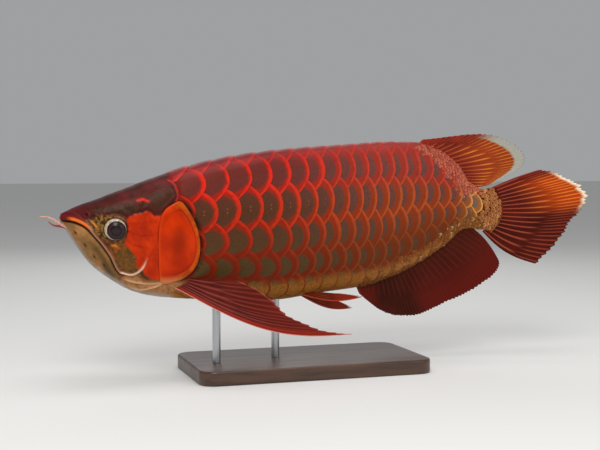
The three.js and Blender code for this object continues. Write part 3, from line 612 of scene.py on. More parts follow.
# One skin over head, jaw and body: rings from the snout's tip to the tail
def buildSkin():
    noseRings, headRings, trunkRings = skinGrid["noseRings"], skinGrid["headRings"], skinGrid["trunkRings"]
    rings = noseRings + headRings + trunkRings
    bm, u, v = newGrid(skinGrid["around"], rings)
    station = np.rint(v * rings)
    nose = np.clip(station / noseRings, 0, 1)
    headShare = np.clip((station - noseRings) / headRings, 0, 1)
    trunkShare = np.clip((station - noseRings - headRings) / trunkRings, 0, 1)
    x = blend(snout["x"], skinGrid["headEnd"], headShare ** 1.12)
    x = x + (skinGrid["trunkEnd"] - skinGrid["headEnd"]) * trunkShare
    angle = 2 * math.pi * u
    z = sectionPoint(x, angle)[:, 2]
    lift, marks = headRelief(x, z, np.clip(np.abs(np.sin(angle)) * 2.2, 0, 1))
    lift = lift * (1 - step(x, -112, -104))
    waves = skinGrid["waves"] * ripple(x * 0.11, z * 0.13)
    lift = lift + waves * (1 - step(x, -150, -120)) * step(x, -238, -225)
    underScales = skinGrid["underScales"] * step(x, -128, -112)
    points = skinPoint(x, angle, lift - underScales, 0.3)
    middle = np.stack([x, body["sway"](x), (body["back"](x) + body["belly"](x)) / 2], -1)
    shrink = np.where(nose < 1, np.sin(nose * math.pi / 2), 1)[:, None]
    points = middle + (points - middle) * shrink
    points[:, 0] -= snout["reach"] * np.cos(nose * math.pi / 2)
    arc = tailArc(points[:, 2]) + 0.8
    points[:, 0] = np.where((points[:, 0] > 190) & (points[:, 0] > arc), arc, points[:, 0])
    shapeGrid(bm, points, marks, stripMap(v, u, 0.02))
    addPiece("skin", bm, headFinish(), ["head", "lower_jaw", "torso", "tail_stalk"])


# Scales: rows round the body, whose middles lie at the angles given from the back, in degrees
scales = {
    "rows": 12,
    "columnX": smoothCurve([[-4, -213], [0, -120.5], [4, -28.6], [8, 45.2], [12, 106], [16, 163.3],
                            [21, 218.2], [23, 236]]),
    "front": np.array([0, 57, 87, 108.5, 128, 148, 180], float),
    "rear": np.array([0, 66, 92, 112, 132, 152, 180], float),
    "stalk": np.array([0, 34.6, 84, 120, 150, 165, 180], float),
    # Where along the body the angles, the rise at the back and the thickness of the rows change
    "rearSpan": (30, 150),
    "stalkSpan": (160, 200),
    "dorsalSpan": (95, 118),
    "thinSpan": (120, 200),
    "endSpan": (196, 206),
    "startX": -122,
    "backStartX": -128,
    "endX": 203,
    "lastColumn": 21.6,
    "rise": 1.3,
    "leastRise": 0.14,
    "thick": 0.5,
    "dome": 0.32,
    "lip": -0.16,
    "halfHeight": 0.74,
    "bend": 1.265,
    "tail": -1.4,
    "cells": (26, 12),
}
# The root of the pectoral fins, where the scales lie flat
shoulder = {"x": -133, "z": 96, "flat": (14, 26)}


def rowAngle(x, row):
    turned = np.mod(row, scales["rows"])
    side = np.where(turned > scales["rows"] / 2, -1, 1)
    place = np.where(side > 0, turned, scales["rows"] - turned)
    low = np.minimum(place.astype(int), scales["rows"] // 2 - 1)

    def pick(key):
        return blend(scales[key][low], scales[key][low + 1], place - low)

    trunk = blend(pick("front"), pick("rear"), step(x, *scales["rearSpan"]))
    return side * np.radians(blend(trunk, pick("stalk"), step(x, *scales["stalkSpan"])))


# Rows between a place and the middle of the back
def fromBack(row):
    turned = np.mod(row, scales["rows"])
    return np.minimum(turned, scales["rows"] - turned)


def scaleRise(x, row):
    place = fromBack(row)
    bellyPart = step(scales["rows"] / 2 - place, 0.1, 0.9)
    backPart = np.maximum(step(place, 0.1, 0.9), 1 - step(x, *scales["dorsalSpan"]))
    stalk = 1 - 0.45 * step(x, *scales["thinSpan"])
    end = 1 - step(x, *scales["endSpan"])
    point = sectionPoint(x, rowAngle(x, row))
    fromFin = np.hypot(point[..., 0] - shoulder["x"], point[..., 2] - shoulder["z"])
    finPart = step(fromFin, *shoulder["flat"])
    return np.maximum(scales["leastRise"], scales["rise"] * bellyPart * backPart * stalk * end * finPart)


# One plate as a closed shell in unit measures: across from -1 to 1, along from 0 in front to 1 behind
def plateTemplate(across, along):
    bm = bmesh.new()
    bmesh.ops.create_grid(bm, x_segments=across, y_segments=along, size=1)
    bmesh.ops.solidify(bm, geom=bm.faces[:], thickness=1)
    bmesh.ops.recalc_face_normals(bm, faces=bm.faces)
    bm.verts.index_update()
    co = np.array([v.co for v in bm.verts])
    top = co[:, 2] > co[:, 2].mean()
    faces = [[loop.vert.index for loop in face.loops] for face in bm.faces]
    bm.free()
    shell = np.stack([co[:, 0], (co[:, 1] + 1) / 2, np.where(top, 0.0, -1.0)], -1)
    return {"shell": shell, "faces": faces, "corners": plateMap(shell, faces)}


# Where each corner of a plate lies in its own cell of the bake's map
def plateMap(shell, faces):
    across, along, under = shell.T
    inCell = np.stack([0.32 + 0.6 * along, 0.08 + 0.42 * (across + 1)], -1)
    centre = np.array([0.62, 0.5])
    rows = []
    for face in faces:
        below = under[face] < -0.5
        corners = inCell[face].copy()
        if below.all():
            corners[:, 0] = 0.03 + 0.22 * along[face]
        elif below.any():
            corners = np.where(below[:, None], centre + (corners - centre) * 1.06, corners)
        rows.append(corners)
    return np.concatenate(rows)


# Many plates as one mesh: points are (plate, vertex, 3), and each plate has its cell of the bake's map
def joinPlates(name, points, plate, attributes, cells, cellCounts, material):
    plates, count, _ = points.shape
    faces = plate["faces"]
    mesh = bpy.data.meshes.new(name)
    mesh.vertices.add(plates * count)
    mesh.vertices.foreach_set("co", (points * mm).reshape(-1).astype(np.float32))
    loops = (np.concatenate(faces)[None, :] + count * np.arange(plates)[:, None]).reshape(-1)
    mesh.loops.add(len(loops))
    mesh.loops.foreach_set("vertex_index", loops.astype(np.int32))
    mesh.polygons.add(plates * len(faces))
    starts = np.concatenate([[0], np.cumsum(np.tile([len(face) for face in faces], plates))[:-1]])
    mesh.polygons.foreach_set("loop_start", starts.astype(np.int32))
    mesh.update(calc_edges=True)
    mesh.validate()
    where = (cells[:, None, :] + plate["corners"][None]) / cellCounts
    mesh.uv_layers.new(name="OFBake").data.foreach_set("uv", where.reshape(-1).astype(np.float32))
    for key, values in attributes.items():
        values = np.ascontiguousarray(np.broadcast_to(values, (plates, count)), np.float32)
        mesh.attributes.new(key, "FLOAT", "POINT").data.foreach_set("value", values.reshape(-1))
    finishPiece(name, mesh, material, sharpAngle=50)


def scaleFinish():
    finish = Finish("scaleSkin", Specular_Tint=rgb(255, 150, 120), Coat_Roughness=0.12,
                    Coat_Tint=rgb(255, 170, 150), **softShine)
    mix = finish.mix
    edge, height, along, chance, lateral, shade = (
        finish.attribute(name) for name in ("edge", "rowPlace", "alongBody", "chance", "lateral", "shade"))
    across = finish.attribute("across").absolute()
    broad = finish.noise(30.0)
    grain = finish.noise(620.0, 3.0, 0.7)
    speck = finish.noise(190.0, 3.0, 0.65)
    middle = height.between(0.2, 0.34)
    lower = height.between(0.36, 0.66)
    rear = along.between(0.2, 0.72)
    stalk = along.between(0.84, 0.95)
    reach = edge + (speck - 0.5) * 0.2 + (broad - 0.5) * 0.18 + (chance - 0.5) * 0.08
    line = reach.between(0.24, 0.08) * (1.0 - lower * 0.4)
    ahead = (reach - (lower * 0.08 + rear * 0.2 + 0.66)) / (0.5 - lower * 0.08 - rear * 0.19)
    aside = across / (0.54 - lower * 0.09 - rear * 0.07) + (speck - 0.5) * 0.16
    spot = (ahead * ahead + aside * aside).between(1.3, 0.55)
    rearSpot = mix(lower, rgb(102, 66, 60), rgb(80, 62, 46))
    spotTone = finish.layers(
        rgb(98, 42, 36), (middle, rgb(82, 50, 32)), (lower, rgb(82, 64, 36)), (rear * 0.85, rearSpot),
        (stalk, rgb(116, 96, 84)), (grain.between(0.45, 0.7) * 0.4, rgb(44, 32, 22)))
    rearBand = finish.layers(rgb(142, 46, 34), (middle, rgb(136, 54, 24)), (lower, rgb(106, 46, 16)))
    band = finish.layers(rgb(160, 26, 17), (middle, rgb(144, 32, 14)), (lower, rgb(116, 32, 9)),
                         (rear, rearBand), (stalk, rgb(150, 98, 46)))
    lineTone = finish.layers(
        rgb(214, 36, 20), (middle, rgb(192, 42, 18)), (lower, rgb(134, 38, 10)),
        (rear, mix(middle, rgb(178, 58, 42), rgb(172, 78, 36))), (rear * lower, rgb(134, 66, 26)),
        (stalk, rgb(222, 164, 84)))
    golden = mix(grain.between(0.3, 0.7), rgb(176, 116, 52), rgb(134, 86, 36))
    golden = mix(edge.between(0.1, 0.04) * (1.0 - rear * 0.5), golden, rgb(116, 40, 12))
    backTone = mix(broad.between(0.3, 0.7), rgb(132, 24, 28), rgb(100, 24, 28))
    backTone = finish.layers(backTone, (rear, rgb(138, 48, 42)), (line * 0.4, rgb(190, 34, 28)))
    pore = lateral * (edge - 0.6).absolute().between(0.045, 0.0)
    pore = pore * (across - 0.05).absolute().between(0.04, 0.0)
    tone = finish.layers(
        band, (line, lineTone), (speck.between(0.5, 0.8) * 0.3, rgb(88, 24, 12)), (spot, spotTone),
        ((height + (speck - 0.5) * 0.1).between(0.74, 0.86), golden),
        (height.between(0.17, 0.05) * 0.9, backTone), (pore * (1.0 - rear) * 0.5, rgb(196, 96, 80)),
        (shade * 0.95, rgb(10, 5, 4)))
    finish.set(Base_Color=tone, Coat_Weight=0.06, Roughness=grain * 0.16 + 0.36)
    finish.bump(grain * 0.5 + speck * 0.5, 0.35, 0.35)
    return finish.material


# How far plates sink where the head or a gill cover lies over them, and how dark the gap is
def sunkUnderHead(x, z):
    gap, _, hand = lineDistance(x, z, napeLine)
    ahead = step(gap * -hand, 0.0, 2.5)
    gillIn = insideDistance(x, z, gillRing)
    groove = bell(gillIn + 1.6, 2.0) * step(x, -138, -128)
    return 4 * np.maximum(ahead, step(gillIn, -1.5, 1.5)) + 1.8 * groove, groove


# Column and row of each plate, half a column apart in neighbouring rows
def scalePlaces(rows):
    places = []
    for row in rows:
        startX = scales["backStartX"] if fromBack(row) <= 1 else scales["startX"]
        offset = 0.5 if row % 2 else 0.0
        for column in np.arange(-1 + offset, scales["lastColumn"] + offset):
            if startX <= scales["columnX"](column) < scales["endX"]:
                places.append((column, row))
    return np.array(places, float).T[:, :, None]


def buildScales():
    rng = np.random.default_rng(7)
    plate = plateTemplate(9, 8)
    a, b, under = plate["shell"].T
    material = scaleFinish()
    sets = {"scalesLeft": range(1, 6), "scalesRight": range(7, 12), "scalesMidline": (0, 6)}
    for name, rows in sets.items():
        column, row = scalePlaces(rows)
        chance = rng.random(column.shape)
        t = a[None] * scales["halfHeight"] * (1 + 0.03 * (chance - 0.5))
        rearEdge = -scales["bend"] * t ** 2
        s = blend(scales["tail"], rearEdge, b[None])
        edge = rearEdge - s
        x = scales["columnX"](column + s + 0.05 * (chance - 0.5))
        angle = rowAngle(x, row + t)
        rise = scaleRise(x, row + t)
        sunk, groove = sunkUnderHead(x, sectionPoint(x, angle)[..., 2])
        fullness = rise / scales["rise"]
        dome = scales["dome"] * (1 - (t / scales["halfHeight"]) ** 2)
        dome = dome * step(edge, 0, 0.35) * (1 - step(edge, 0.6, 1.2))
        lip = scales["lip"] * (1 - step(edge, 0, 0.06))
        lift = rise * (1 + s) + (dome + lip) * fullness - sunk
        lift = lift + under[None] * scales["thick"] * (0.5 + 0.5 * fullness)
        attributes = {
            "edge": edge,
            "across": t,
            "rowPlace": fromBack(row + t) / (scales["rows"] / 2),
            "alongBody": np.clip((x + 140) / 360, 0, 1),
            "chance": chance,
            "shade": groove,
            "lateral": fromBack(row) == 2,
        }
        cells = np.concatenate([column + 1, row], -1)
        joinPlates(name, skinPoint(x, angle, lift), plate, attributes, cells, scales["cells"], material)


# Small scales along the bases of the dorsal, anal and tail fins
smallScales = {
    "pitch": 3.3,
    "lift": 0.35,
    "rise": 0.6,
    "dome": 0.18,
    "thick": 0.45,
    "span": (66, 226),
    "rearX": 197,
    "dorsal": [[116, 226], [128, 224], [145, 217], [160, 207], [172, 196], [182, 185], [190, 181]],
    "dorsalWidth": 12,
    "dorsalStart": 122,
    "anal": [[62, 84], [91, 93], [113, 101], [136, 112], [160, 127], [183, 145], [198, 143]],
    "analWidth": 9,
    "cells": (50, 60),
}


def smallScaleFinish():
    finish = Finish("smallScaleSkin", Specular_Tint=rgb(255, 170, 130), **softShine)
    pink, low, edge, chance = (finish.attribute(name) for name in ("pink", "low", "edge", "chance"))
    grain = finish.noise(620.0, 3.0, 0.7)
    broad = finish.noise(60.0)
    rim = finish.layers(rgb(188, 128, 74), (pink, rgb(190, 108, 84)), (low, rgb(148, 92, 42)))
    dots = (chance - 0.93).between(0.0, 0.02) * edge.between(0.7, 0.3) * (1.0 - pink)
    tone = finish.layers(
        rgb(146, 90, 50), (pink, rgb(148, 66, 52)), (low, rgb(112, 68, 30)),
        (broad.between(0.4, 0.65) * 0.4, rgb(116, 56, 32)),
        (edge.between(0.5, 0.05) * chance.between(-0.3, 0.8), rim), (dots * 0.45, rgb(214, 160, 110)))
    finish.set(Base_Color=tone, Coat_Weight=0.06, Roughness=grain * 0.16 + 0.36)
    return finish.material


# Each small scale: x, angle, whether it is pink or low, column, row, and angle for each millimetre round
def smallScalePlaces(side, rng):
    pitch = smallScales["pitch"]
    angles = np.radians(np.linspace(2, 178, 200))
    places = []
    for column, x in enumerate(np.arange(*smallScales["span"], pitch)):
        section = sectionPoint(np.full(len(angles), x), side * angles)
        arc = np.concatenate([[0], np.cumsum(np.linalg.norm(np.diff(section, axis=0), axis=1))])
        slopes = np.diff(angles) / np.maximum(np.diff(arc), 1e-6)
        dorsalWidth = smallScales["dorsalWidth"] * (step(x, 118, 165) - 0.6 * step(x, 172, 188))
        analWidth = smallScales["analWidth"] * (0.5 + 0.5 * step(x, 62, 110))
        for row, reach in enumerate(np.arange(pitch * (0.5 if column % 2 else 1), arc[-1], pitch)):
            angle = np.interp(reach, arc, angles) * side
            here = sectionPoint(np.array([x]), np.array([angle]))[:, [0, 2]].T
            dorsalGap, analGap = (lineDistance(*here, smallScales[key])[0][0] for key in ("dorsal", "anal"))
            loose, driftX, driftTurn = rng.uniform(-1, 1, 3)
            rear = x > smallScales["rearX"] + 3 * loose
            pink = x > smallScales["dorsalStart"] and dorsalGap < dorsalWidth + 3 * loose
            low = analGap < analWidth + 2 * loose
            if x < tailArc(here[1, 0]) - 1.2 and (rear or pink or low):
                slope = np.interp(reach, arc[1:], slopes)
                places.append((x + 0.8 * driftX, angle + 0.7 * driftTurn * slope * side, pink and not rear,
                               low and not rear and not pink, column, row, slope))
    return np.array(places, float).T[:, :, None]


def buildSmallScales():
    rng = np.random.default_rng(11)
    plate = plateTemplate(4, 3)
    a, b, under = plate["shell"].T
    material = smallScaleFinish()
    for name, side in (("smallScalesLeft", 1), ("smallScalesRight", -1)):
        x, angle, pink, low, column, row, slope = smallScalePlaces(side, rng)
        chance = rng.random(x.shape)
        rearEdge = 0.55 - 0.5 * a[None] ** 2
        along = blend(-0.55, rearEdge, b[None])
        size = smallScales["pitch"] * (1 + 0.35 * (chance - 0.5))
        lift = smallScales["lift"] + smallScales["rise"] * (0.5 + along)
        lift = lift + smallScales["dome"] * (1 - a[None] ** 2) + under[None] * smallScales["thick"]
        points = skinPoint(x + along * size, angle + side * a[None] * 0.56 * size * slope, lift)
        attributes = {"edge": rearEdge - along, "pink": pink, "low": low, "chance": chance}
        cells = np.concatenate([column, row], -1)
        joinPlates(name, points, plate, attributes, cells, smallScales["cells"], material)


# Gill covers
def gillFinish():
    finish = Finish("gillPlate", Specular_Tint=rgb(255, 150, 90), Coat_Roughness=0.12,
                    Coat_Tint=rgb(255, 170, 120), **softShine)
    mix = finish.mix
    out, front, foot = (finish.attribute(name) for name in ("out", "front", "foot"))
    broad = finish.noise(40.0, 4.0)
    fine = finish.noise(700.0)
    streak = finish.noise(120.0, 3.0, 0.6)
    rear = 1.0 - front
    rimTone = mix(streak.between(0.35, 0.65), rgb(190, 84, 14), rgb(160, 60, 9))
    line = (out - 0.79).absolute().between(0.03, 0.0) * rear
    tone = finish.layers(
        mix(broad.between(0.3, 0.7), rgb(206, 54, 4), rgb(170, 36, 3)),
        (out.between(0.6, 0.05) * 0.8, rgb(138, 28, 2)),
        ((out + (broad - 0.5) * 0.06).between(0.78, 0.9) * rear, rimTone),
        (out.between(0.84, 0.98) * front * 0.5, rgb(214, 70, 16)), (line * 0.7, rgb(120, 16, 4)),
        # Painted shade: the rear rim darkens where the cover's edge turns under
        (out.between(0.975, 1.0) * 0.8 * rear, rgb(70, 24, 8)), (foot * 0.7, rgb(206, 138, 84)),
        (streak.between(0.6, 0.8) * 0.25, rgb(160, 26, 6)))
    finish.set(Base_Color=tone, Roughness=fine * 0.14 + 0.34, Coat_Weight=0.1)
    finish.bump(fine * 0.4 + streak * 0.6, 0.25, 0.5)
    return finish.material


def buildGillCover(side, label, material):
    bm, u, v = newGrid(120, 30)
    ring = flatCurve(gillOutline(60), closed=True)(u)
    place, outward, height = gill["profile"].T
    share = np.interp(v, place, outward)
    lift = smoothCurve(np.stack([place, height], -1))(v)
    mx, mz = gill["middle"]
    x, z = blend(mx, ring[:, 0], share), blend(mz, ring[:, 2], share)
    front = step(-x, 132, 147)
    lift = lift + gill["waves"] * ripple(x * 0.16, z * 0.2) * (share > 0.01) * (v < 0.8)
    flush = 0.75 - 0.35 * step(share, 0.93, 1)
    lift = np.where(v < 0.93, blend(lift, flush, front * step(share, 0.45, 0.8)), lift)
    angle = angleAt(x, z, side)
    rearRoll = step(x, -128, -117) * (v < 0.93) * gill["rearRoll"]
    points = bodyPoint(x, angle, lift) + bodyNormal(x, angle) * rearRoll[:, None]
    attributes = {"out": np.where(v < 0.9, share, 1.0), "front": front, "foot": step(-z, -104, -97)}
    shapeGrid(bm, points, attributes, discMap(2 * math.pi * u, v))
    addPiece(f"gillCover{label.title()}", bm, material, [f"gill_cover_{label}"])


# Eyes
def eyeFinish():
    finish = Finish("eyeball", Roughness=0.2, Specular_IOR_Level=0.12, Coat_Weight=0.15, Coat_Roughness=0.03)
    mix = finish.mix
    out, disc, low = (finish.attribute(name) for name in ("out", "disc", "low"))
    fibres = finish.noise(900.0, 2.0, 0.6)
    silverAndPaintedLight = mix(fibres.between(0.35, 0.65), rgb(206, 190, 166), rgb(150, 124, 98))
    # Painted shade: the silver ring darkens towards its lower right
    silverAndPaintedLight = mix(low * 0.7, silverAndPaintedLight, rgb(104, 80, 66))
    iris = mix(fibres.between(0.3, 0.7), rgb(38, 20, 22), rgb(22, 12, 14))
    tone = finish.layers(
        iris, (disc.between(0.80, 0.86), silverAndPaintedLight),
        ((disc - 0.60).absolute().between(0.2, 0.0) * 0.6, rgb(66, 40, 42)),
        (disc.between(0.40, 0.32) * 0.85, rgb(44, 32, 34)),
        ((disc - 0.42).absolute().between(0.06, 0.0) * 0.8, rgb(16, 10, 12)),
        (out.between(0.95, 0.99), rgb(46, 30, 22)))
    finish.set(Base_Color=tone)
    return finish.material


# A shallow dome with a stub behind it; v runs from the pupil to the rim, then back and in
def buildEye(side, label, material):
    radius, dome, frontShare = eye["radius"], eye["dome"], eye["frontShare"]
    bm, u, v = newGrid(64, 30)
    behind = v > frontShare
    front = np.clip(v / frontShare, 0, 1)
    back = 2 * np.clip((v - frontShare) / (1 - frontShare), 0, 1)
    r = np.where(behind, radius * (1 - np.clip(back - 1, 0, 1)), radius * front)
    rim = dome - math.sqrt(dome ** 2 - radius ** 2)
    height = np.sqrt(dome ** 2 - (radius * front) ** 2) - dome + rim
    height = height + eye["pupilRise"] * (1 - step(front, 0.35, 0.6))
    height = height - eye["ringDip"] * bell(front - 0.76, 0.07)
    height = np.where(behind, -eye["depth"] * np.clip(back, 0, 1), height)
    spot = np.array([float(eye["x"])]), np.atleast_1d(angleAt(eye["x"], eye["z"], side))
    centre, axis = bodyPoint(*spot)[0], bodyNormal(*spot)[0]
    across = unit(np.cross([0, 0, 1.0], axis))
    up = np.cross(axis, across)
    turn = 2 * math.pi * u
    points = centre + (r * np.cos(turn))[:, None] * across + (r * np.sin(turn))[:, None] * up
    points = points + (height - eye["sink"])[:, None] * axis
    sideways = r * np.cos(turn) * -np.sign(across[0]) / radius
    upwards = r * np.sin(turn) / radius
    disc = np.hypot(sideways + 0.09, upwards + 0.08)
    # low marks the lower right of the eye, where the ring gets painted shade
    attributes = {"out": np.where(behind, 1.0, front), "disc": np.where(behind, 1.0, disc),
                  "low": step(-sideways - upwards, -0.2, 1.0)}
    shapeGrid(bm, points, attributes, discMap(turn, v))
    addPiece(f"eye{label.title()}", bm, material, [f"eye_{label}"])


# Fins: root and tips of the rays from the leading edge on, in space or in side view
fins = {
    "pectoral": {"root": [[-140.6, -31, 92.2], [-133.5, -32, 95.5], [-127, -33, 99.5]],
                 "tips": [[13.3, -116.3, 52], [1, -109.8, 52.4], [-14, -101.5, 54.6], [-28, -94, 60.6],
                          [-42, -87, 67.2], [-51, -82, 77], [-65, -75, 89], [-84, -65.3, 98.6]],
                 "droop": 18, "rightLift": 24},
    "leftPelvic": {"root": [[-3, 6, 76], [4, 5.5, 76.5], [11, 5, 77.5]],
                   "tips": [[49.5, -43, 77], [46, -34, 77.4], [40, -26, 77.8], [33, -19, 78]],
                   "droop": 6},
    "rightPelvic": {"root": [[-3, 12, 76], [4, 12.5, 76.5], [11, 13, 77.5]],
                    "tips": [[67, 33, 56], [62, 31, 59], [54, 28, 62.5], [44, 25, 66]],
                    "droop": 7},
    "dorsal": {"root": [[128, 224], [145, 217], [160, 207], [172, 196], [182, 185]],
               "tips": [[138, 233], [152, 234.5], [170, 237], [190, 239], [209, 238.4], [226, 233],
                        [239, 225], [246, 213.5], [241, 204], [232, 198], [222, 192.5], [212, 187]],
               "bow": [0, 3], "flutter": 1.2},
    "anal": {"root": [[62, 84], [91, 93], [113, 101], [136, 112], [160, 127], [183, 145]],
             "tips": [[68, 72.5], [78, 64], [90, 55], [104, 49], [118, 47.2], [134, 47.8], [147, 52.5],
                      [160, 58.5], [176, 65.4], [189, 71.6], [204, 82], [215, 92], [218.5, 102],
                      [213, 114]],
             "bow": [0, -3], "flutter": 1.4},
    "caudal": {"root": [[203, 179], [208, 173], [213, 166], [215, 158], [212, 149], [207, 142],
                        [201, 136]],
               "tips": [[260, 201.5], [275, 199], [290, 191.6], [303, 184.6], [311, 171], [305, 158.2],
                        [294.5, 147.2], [286, 134], [271.5, 116.5], [257, 101]],
               "bow": [-1.5, 6], "flutter": 1.5},
}
# Thicknesses in millimetres, and where along a ray it forks
finShape = {"rays": 16, "perRay": 9, "rows": 40, "fork": 0.45, "fray": 0.02, "notch": 0.03, "webRoot": 0.9,
            "webTip": 0.3, "rayRoot": 0.8, "rayTip": 0.25, "lead": 0.8, "leadWidth": 0.02, "narrow": 2.6,
            "fold": 0, "foldSide": 1}
finShapes = {
    "pectoral": {"rays": 7, "perRay": 18, "rows": 64, "fork": 0.35, "notch": 0.022, "fray": 0.014,
                 "webRoot": 0.8, "rayRoot": 1.2, "rayTip": 0.4, "lead": 1.8, "leadWidth": 0.03, "fold": 1.3,
                 "narrow": 1.5},
    "pelvic": {"rays": 5, "perRay": 16, "rows": 36, "fork": 0.4, "notch": 0.05, "fray": 0.03, "lead": 1.0,
               "leadWidth": 0.05, "fold": 0.6},
    "dorsal": {"rays": 17, "fray": 0.015},
    "anal": {"rays": 27, "perRay": 8, "rows": 34, "fray": 0.012, "notch": 0.02, "rayRoot": 0.5},
    "tail": {"perRay": 10, "rows": 48, "fray": 0.035, "rayRoot": 1.0, "webRoot": 1.2, "narrow": 3.5},
}
# Tones of web, rays, warm tips and edge; a pair says where its tone starts and where it is full
finTone = {"tipFrom": 0.4, "tipTo": 0.9, "zone": (-1, 2), "rayStrength": 0.8, "rayFrom": 0.4,
           "leadStrength": 0.7, "leadTone": rgb(130, 50, 40), "edgeSpan": (0.97, 1.0), "edgeAlpha": 1.0,
           "webWarmth": 0.5, "warmWeb": rgb(150, 34, 16), "frontSpan": (0.2, 0.05), "frontStrength": 0.6,
           "frontTone": rgb(110, 18, 12)}
finTones = {
    # The pectoral fin's pinkish-white leading edge tone is a painted highlight
    "pectoral": {"web": rgb(92, 26, 22), "ray": rgb(158, 70, 62), "tip": rgb(146, 54, 44),
                 "edge": rgb(160, 74, 60), "leadTone": rgb(250, 176, 160), "leadStrength": 1.0,
                 "webWarmth": 0.3, "warmWeb": rgb(116, 32, 24), "rayFrom": 0.3, "rayStrength": 0.55,
                 "frontSpan": (0.3, 0.16), "frontStrength": 0.85, "frontTone": rgb(150, 28, 10)},
    "pelvic": {"web": rgb(96, 26, 14), "ray": rgb(156, 70, 40), "tip": rgb(150, 66, 40),
               "edge": rgb(170, 90, 64), "leadTone": rgb(190, 74, 52), "leadStrength": 0.95},
    "dorsal": {"web": rgb(136, 42, 26), "ray": rgb(172, 72, 44), "tip": rgb(232, 150, 48),
               "edge": rgb(176, 172, 150), "zone": (0.3, 1.2), "tipFrom": 0.2, "tipTo": 0.6,
               "webWarmth": 0.6, "warmWeb": rgb(160, 62, 24), "edgeSpan": (0.83, 0.88), "edgeAlpha": 0.4,
               "frontTone": rgb(142, 24, 18)},
    "anal": {"web": rgb(66, 19, 12), "ray": rgb(92, 30, 18), "tip": rgb(108, 24, 14),
             "edge": rgb(118, 23, 14), "rayStrength": 0.5, "webWarmth": 0.8, "zone": (0.35, 2),
             "warmWeb": rgb(92, 17, 11), "tipFrom": 0.1, "tipTo": 0.95},
    "tail": {"web": rgb(80, 17, 12), "ray": rgb(156, 68, 46), "tip": rgb(246, 150, 52),
             "edge": rgb(250, 230, 200), "zone": (0.06, 0.6), "tipFrom": 0.22, "tipTo": 0.85,
             "edgeSpan": (0.92, 0.98), "webWarmth": 0.75, "warmWeb": rgb(200, 66, 12), "rayFrom": 0.28,
             "rayStrength": 0.9},
}


# Points of a fin in the fish's middle: u from the leading edge to the last ray, v from root to tips
def middlePlace(fin):
    root, tips = flatCurve(fin["root"]), flatCurve(fin["tips"])

    def place(u, v):
        foot, tip = root(u), tips(u)
        across = unit(np.stack([foot[..., 2] - tip[..., 2], 0 * u, tip[..., 0] - foot[..., 0]], -1))
        bow = blend(fin["bow"][0], fin["bow"][1], u) * np.sin(math.pi * v)
        point = blend(foot, tip, v[..., None]) - across * bow[..., None]
        point[..., 1] = body["sway"](point[..., 0]) + fin["flutter"] * v ** 2 * np.sin(9 * u + 2.5 * v)
        return point

    return place


# The same for a paired fin, whose points may then be adjusted
def sidePlace(fin, adjust=None):
    root, tips = throughPoints(fin["root"]), throughPoints(fin["tips"])

    def place(u, v):
        point = blend(root(u), tips(u), v[..., None])
        point[..., 2] -= fin["droop"] * (1 - u) ** 1.4 * np.sin(math.pi * v ** 1.1)
        return adjust(point, v) if adjust else point

    return place


# Mirrors the pectoral fin about the body's middle at the shoulder and lifts its tips
def acrossShoulder(point, v):
    x = shoulder["x"]
    slope = (body["sway"](x + 5) - body["sway"](x - 5)) / 10
    plane = body["sway"](x) + slope * (point[..., 0] - x)
    point[..., 1] = 2 * plane - point[..., 1]
    point[..., 2] += fins["pectoral"]["rightLift"] * v
    return point


# A rayed fin as a flat tube: up one face and down the other, thick along each ray and thin between
def buildFin(name, node, place, material, shape):
    rays = shape["rays"]
    bm, w, v = newGrid(2 * rays * shape["perRay"], shape["rows"])
    face = np.where(w <= 0.5, 1.0, -1.0)
    u = np.clip(np.where(w <= 0.5, 2 * w, 2 - 2 * w), 0, 1)
    single = 0.5 + 0.5 * np.cos(2 * math.pi * (u * rays - 0.5))
    pairs = 0.5 + 0.5 * np.cos(4 * math.pi * (u * rays - 0.25))
    split = step(v, shape["fork"], shape["fork"] + 0.3)
    ray = blend(single ** shape["narrow"], pairs ** (shape["narrow"] * 0.7) * 0.85, split)
    uneven = np.mod(np.sin(np.floor(u * rays * 2) * 12.9898) * 43758.5, 1.0)
    fray = shape["fray"] * uneven * np.sin(math.pi * u) ** 0.3 * v ** 3
    notch = shape["notch"] * (1 - blend(single, pairs, step(v, 0.6, 1))) * step(v, 0.3, 1)
    leading = bell(u, shape["leadWidth"])
    thick = blend(shape["webRoot"], shape["webTip"], v) + ray * blend(shape["rayRoot"], shape["rayTip"], v)
    thick = thick + leading * shape["lead"] * (1 - 0.6 * v)
    ends = np.sqrt(np.clip(u / 0.02, 0, 1)) * np.sqrt(np.clip((1 - u) / 0.02, 0, 1))
    tipClose = np.sqrt(np.clip((1 - v) / 0.02, 0, 1)) * np.clip(v / 0.001, 0, 1)
    at = place(u, v * (1 - notch - fray))
    d = 0.006
    du = place(np.minimum(u + d, 1), v) - place(np.maximum(u - d, 0), v)
    dv = place(u, np.minimum(v + d, 1)) - place(u, np.maximum(v - d, 0))
    normal = unit(np.cross(du, dv))
    sag = shape["fold"] * shape["foldSide"] * (1 - single) * step(v, 0.05, 0.3) * (1 - v)
    points = at + normal * (thick * ends * tipClose / 2 * face - sag)[:, None]
    attributes = {"ray": np.clip(ray, 0, 1), "out": v, "acrossFin": u, "lead": leading}
    shapeGrid(bm, points, attributes, stripMap(w, v))
    addPiece(name, bm, material, [node])


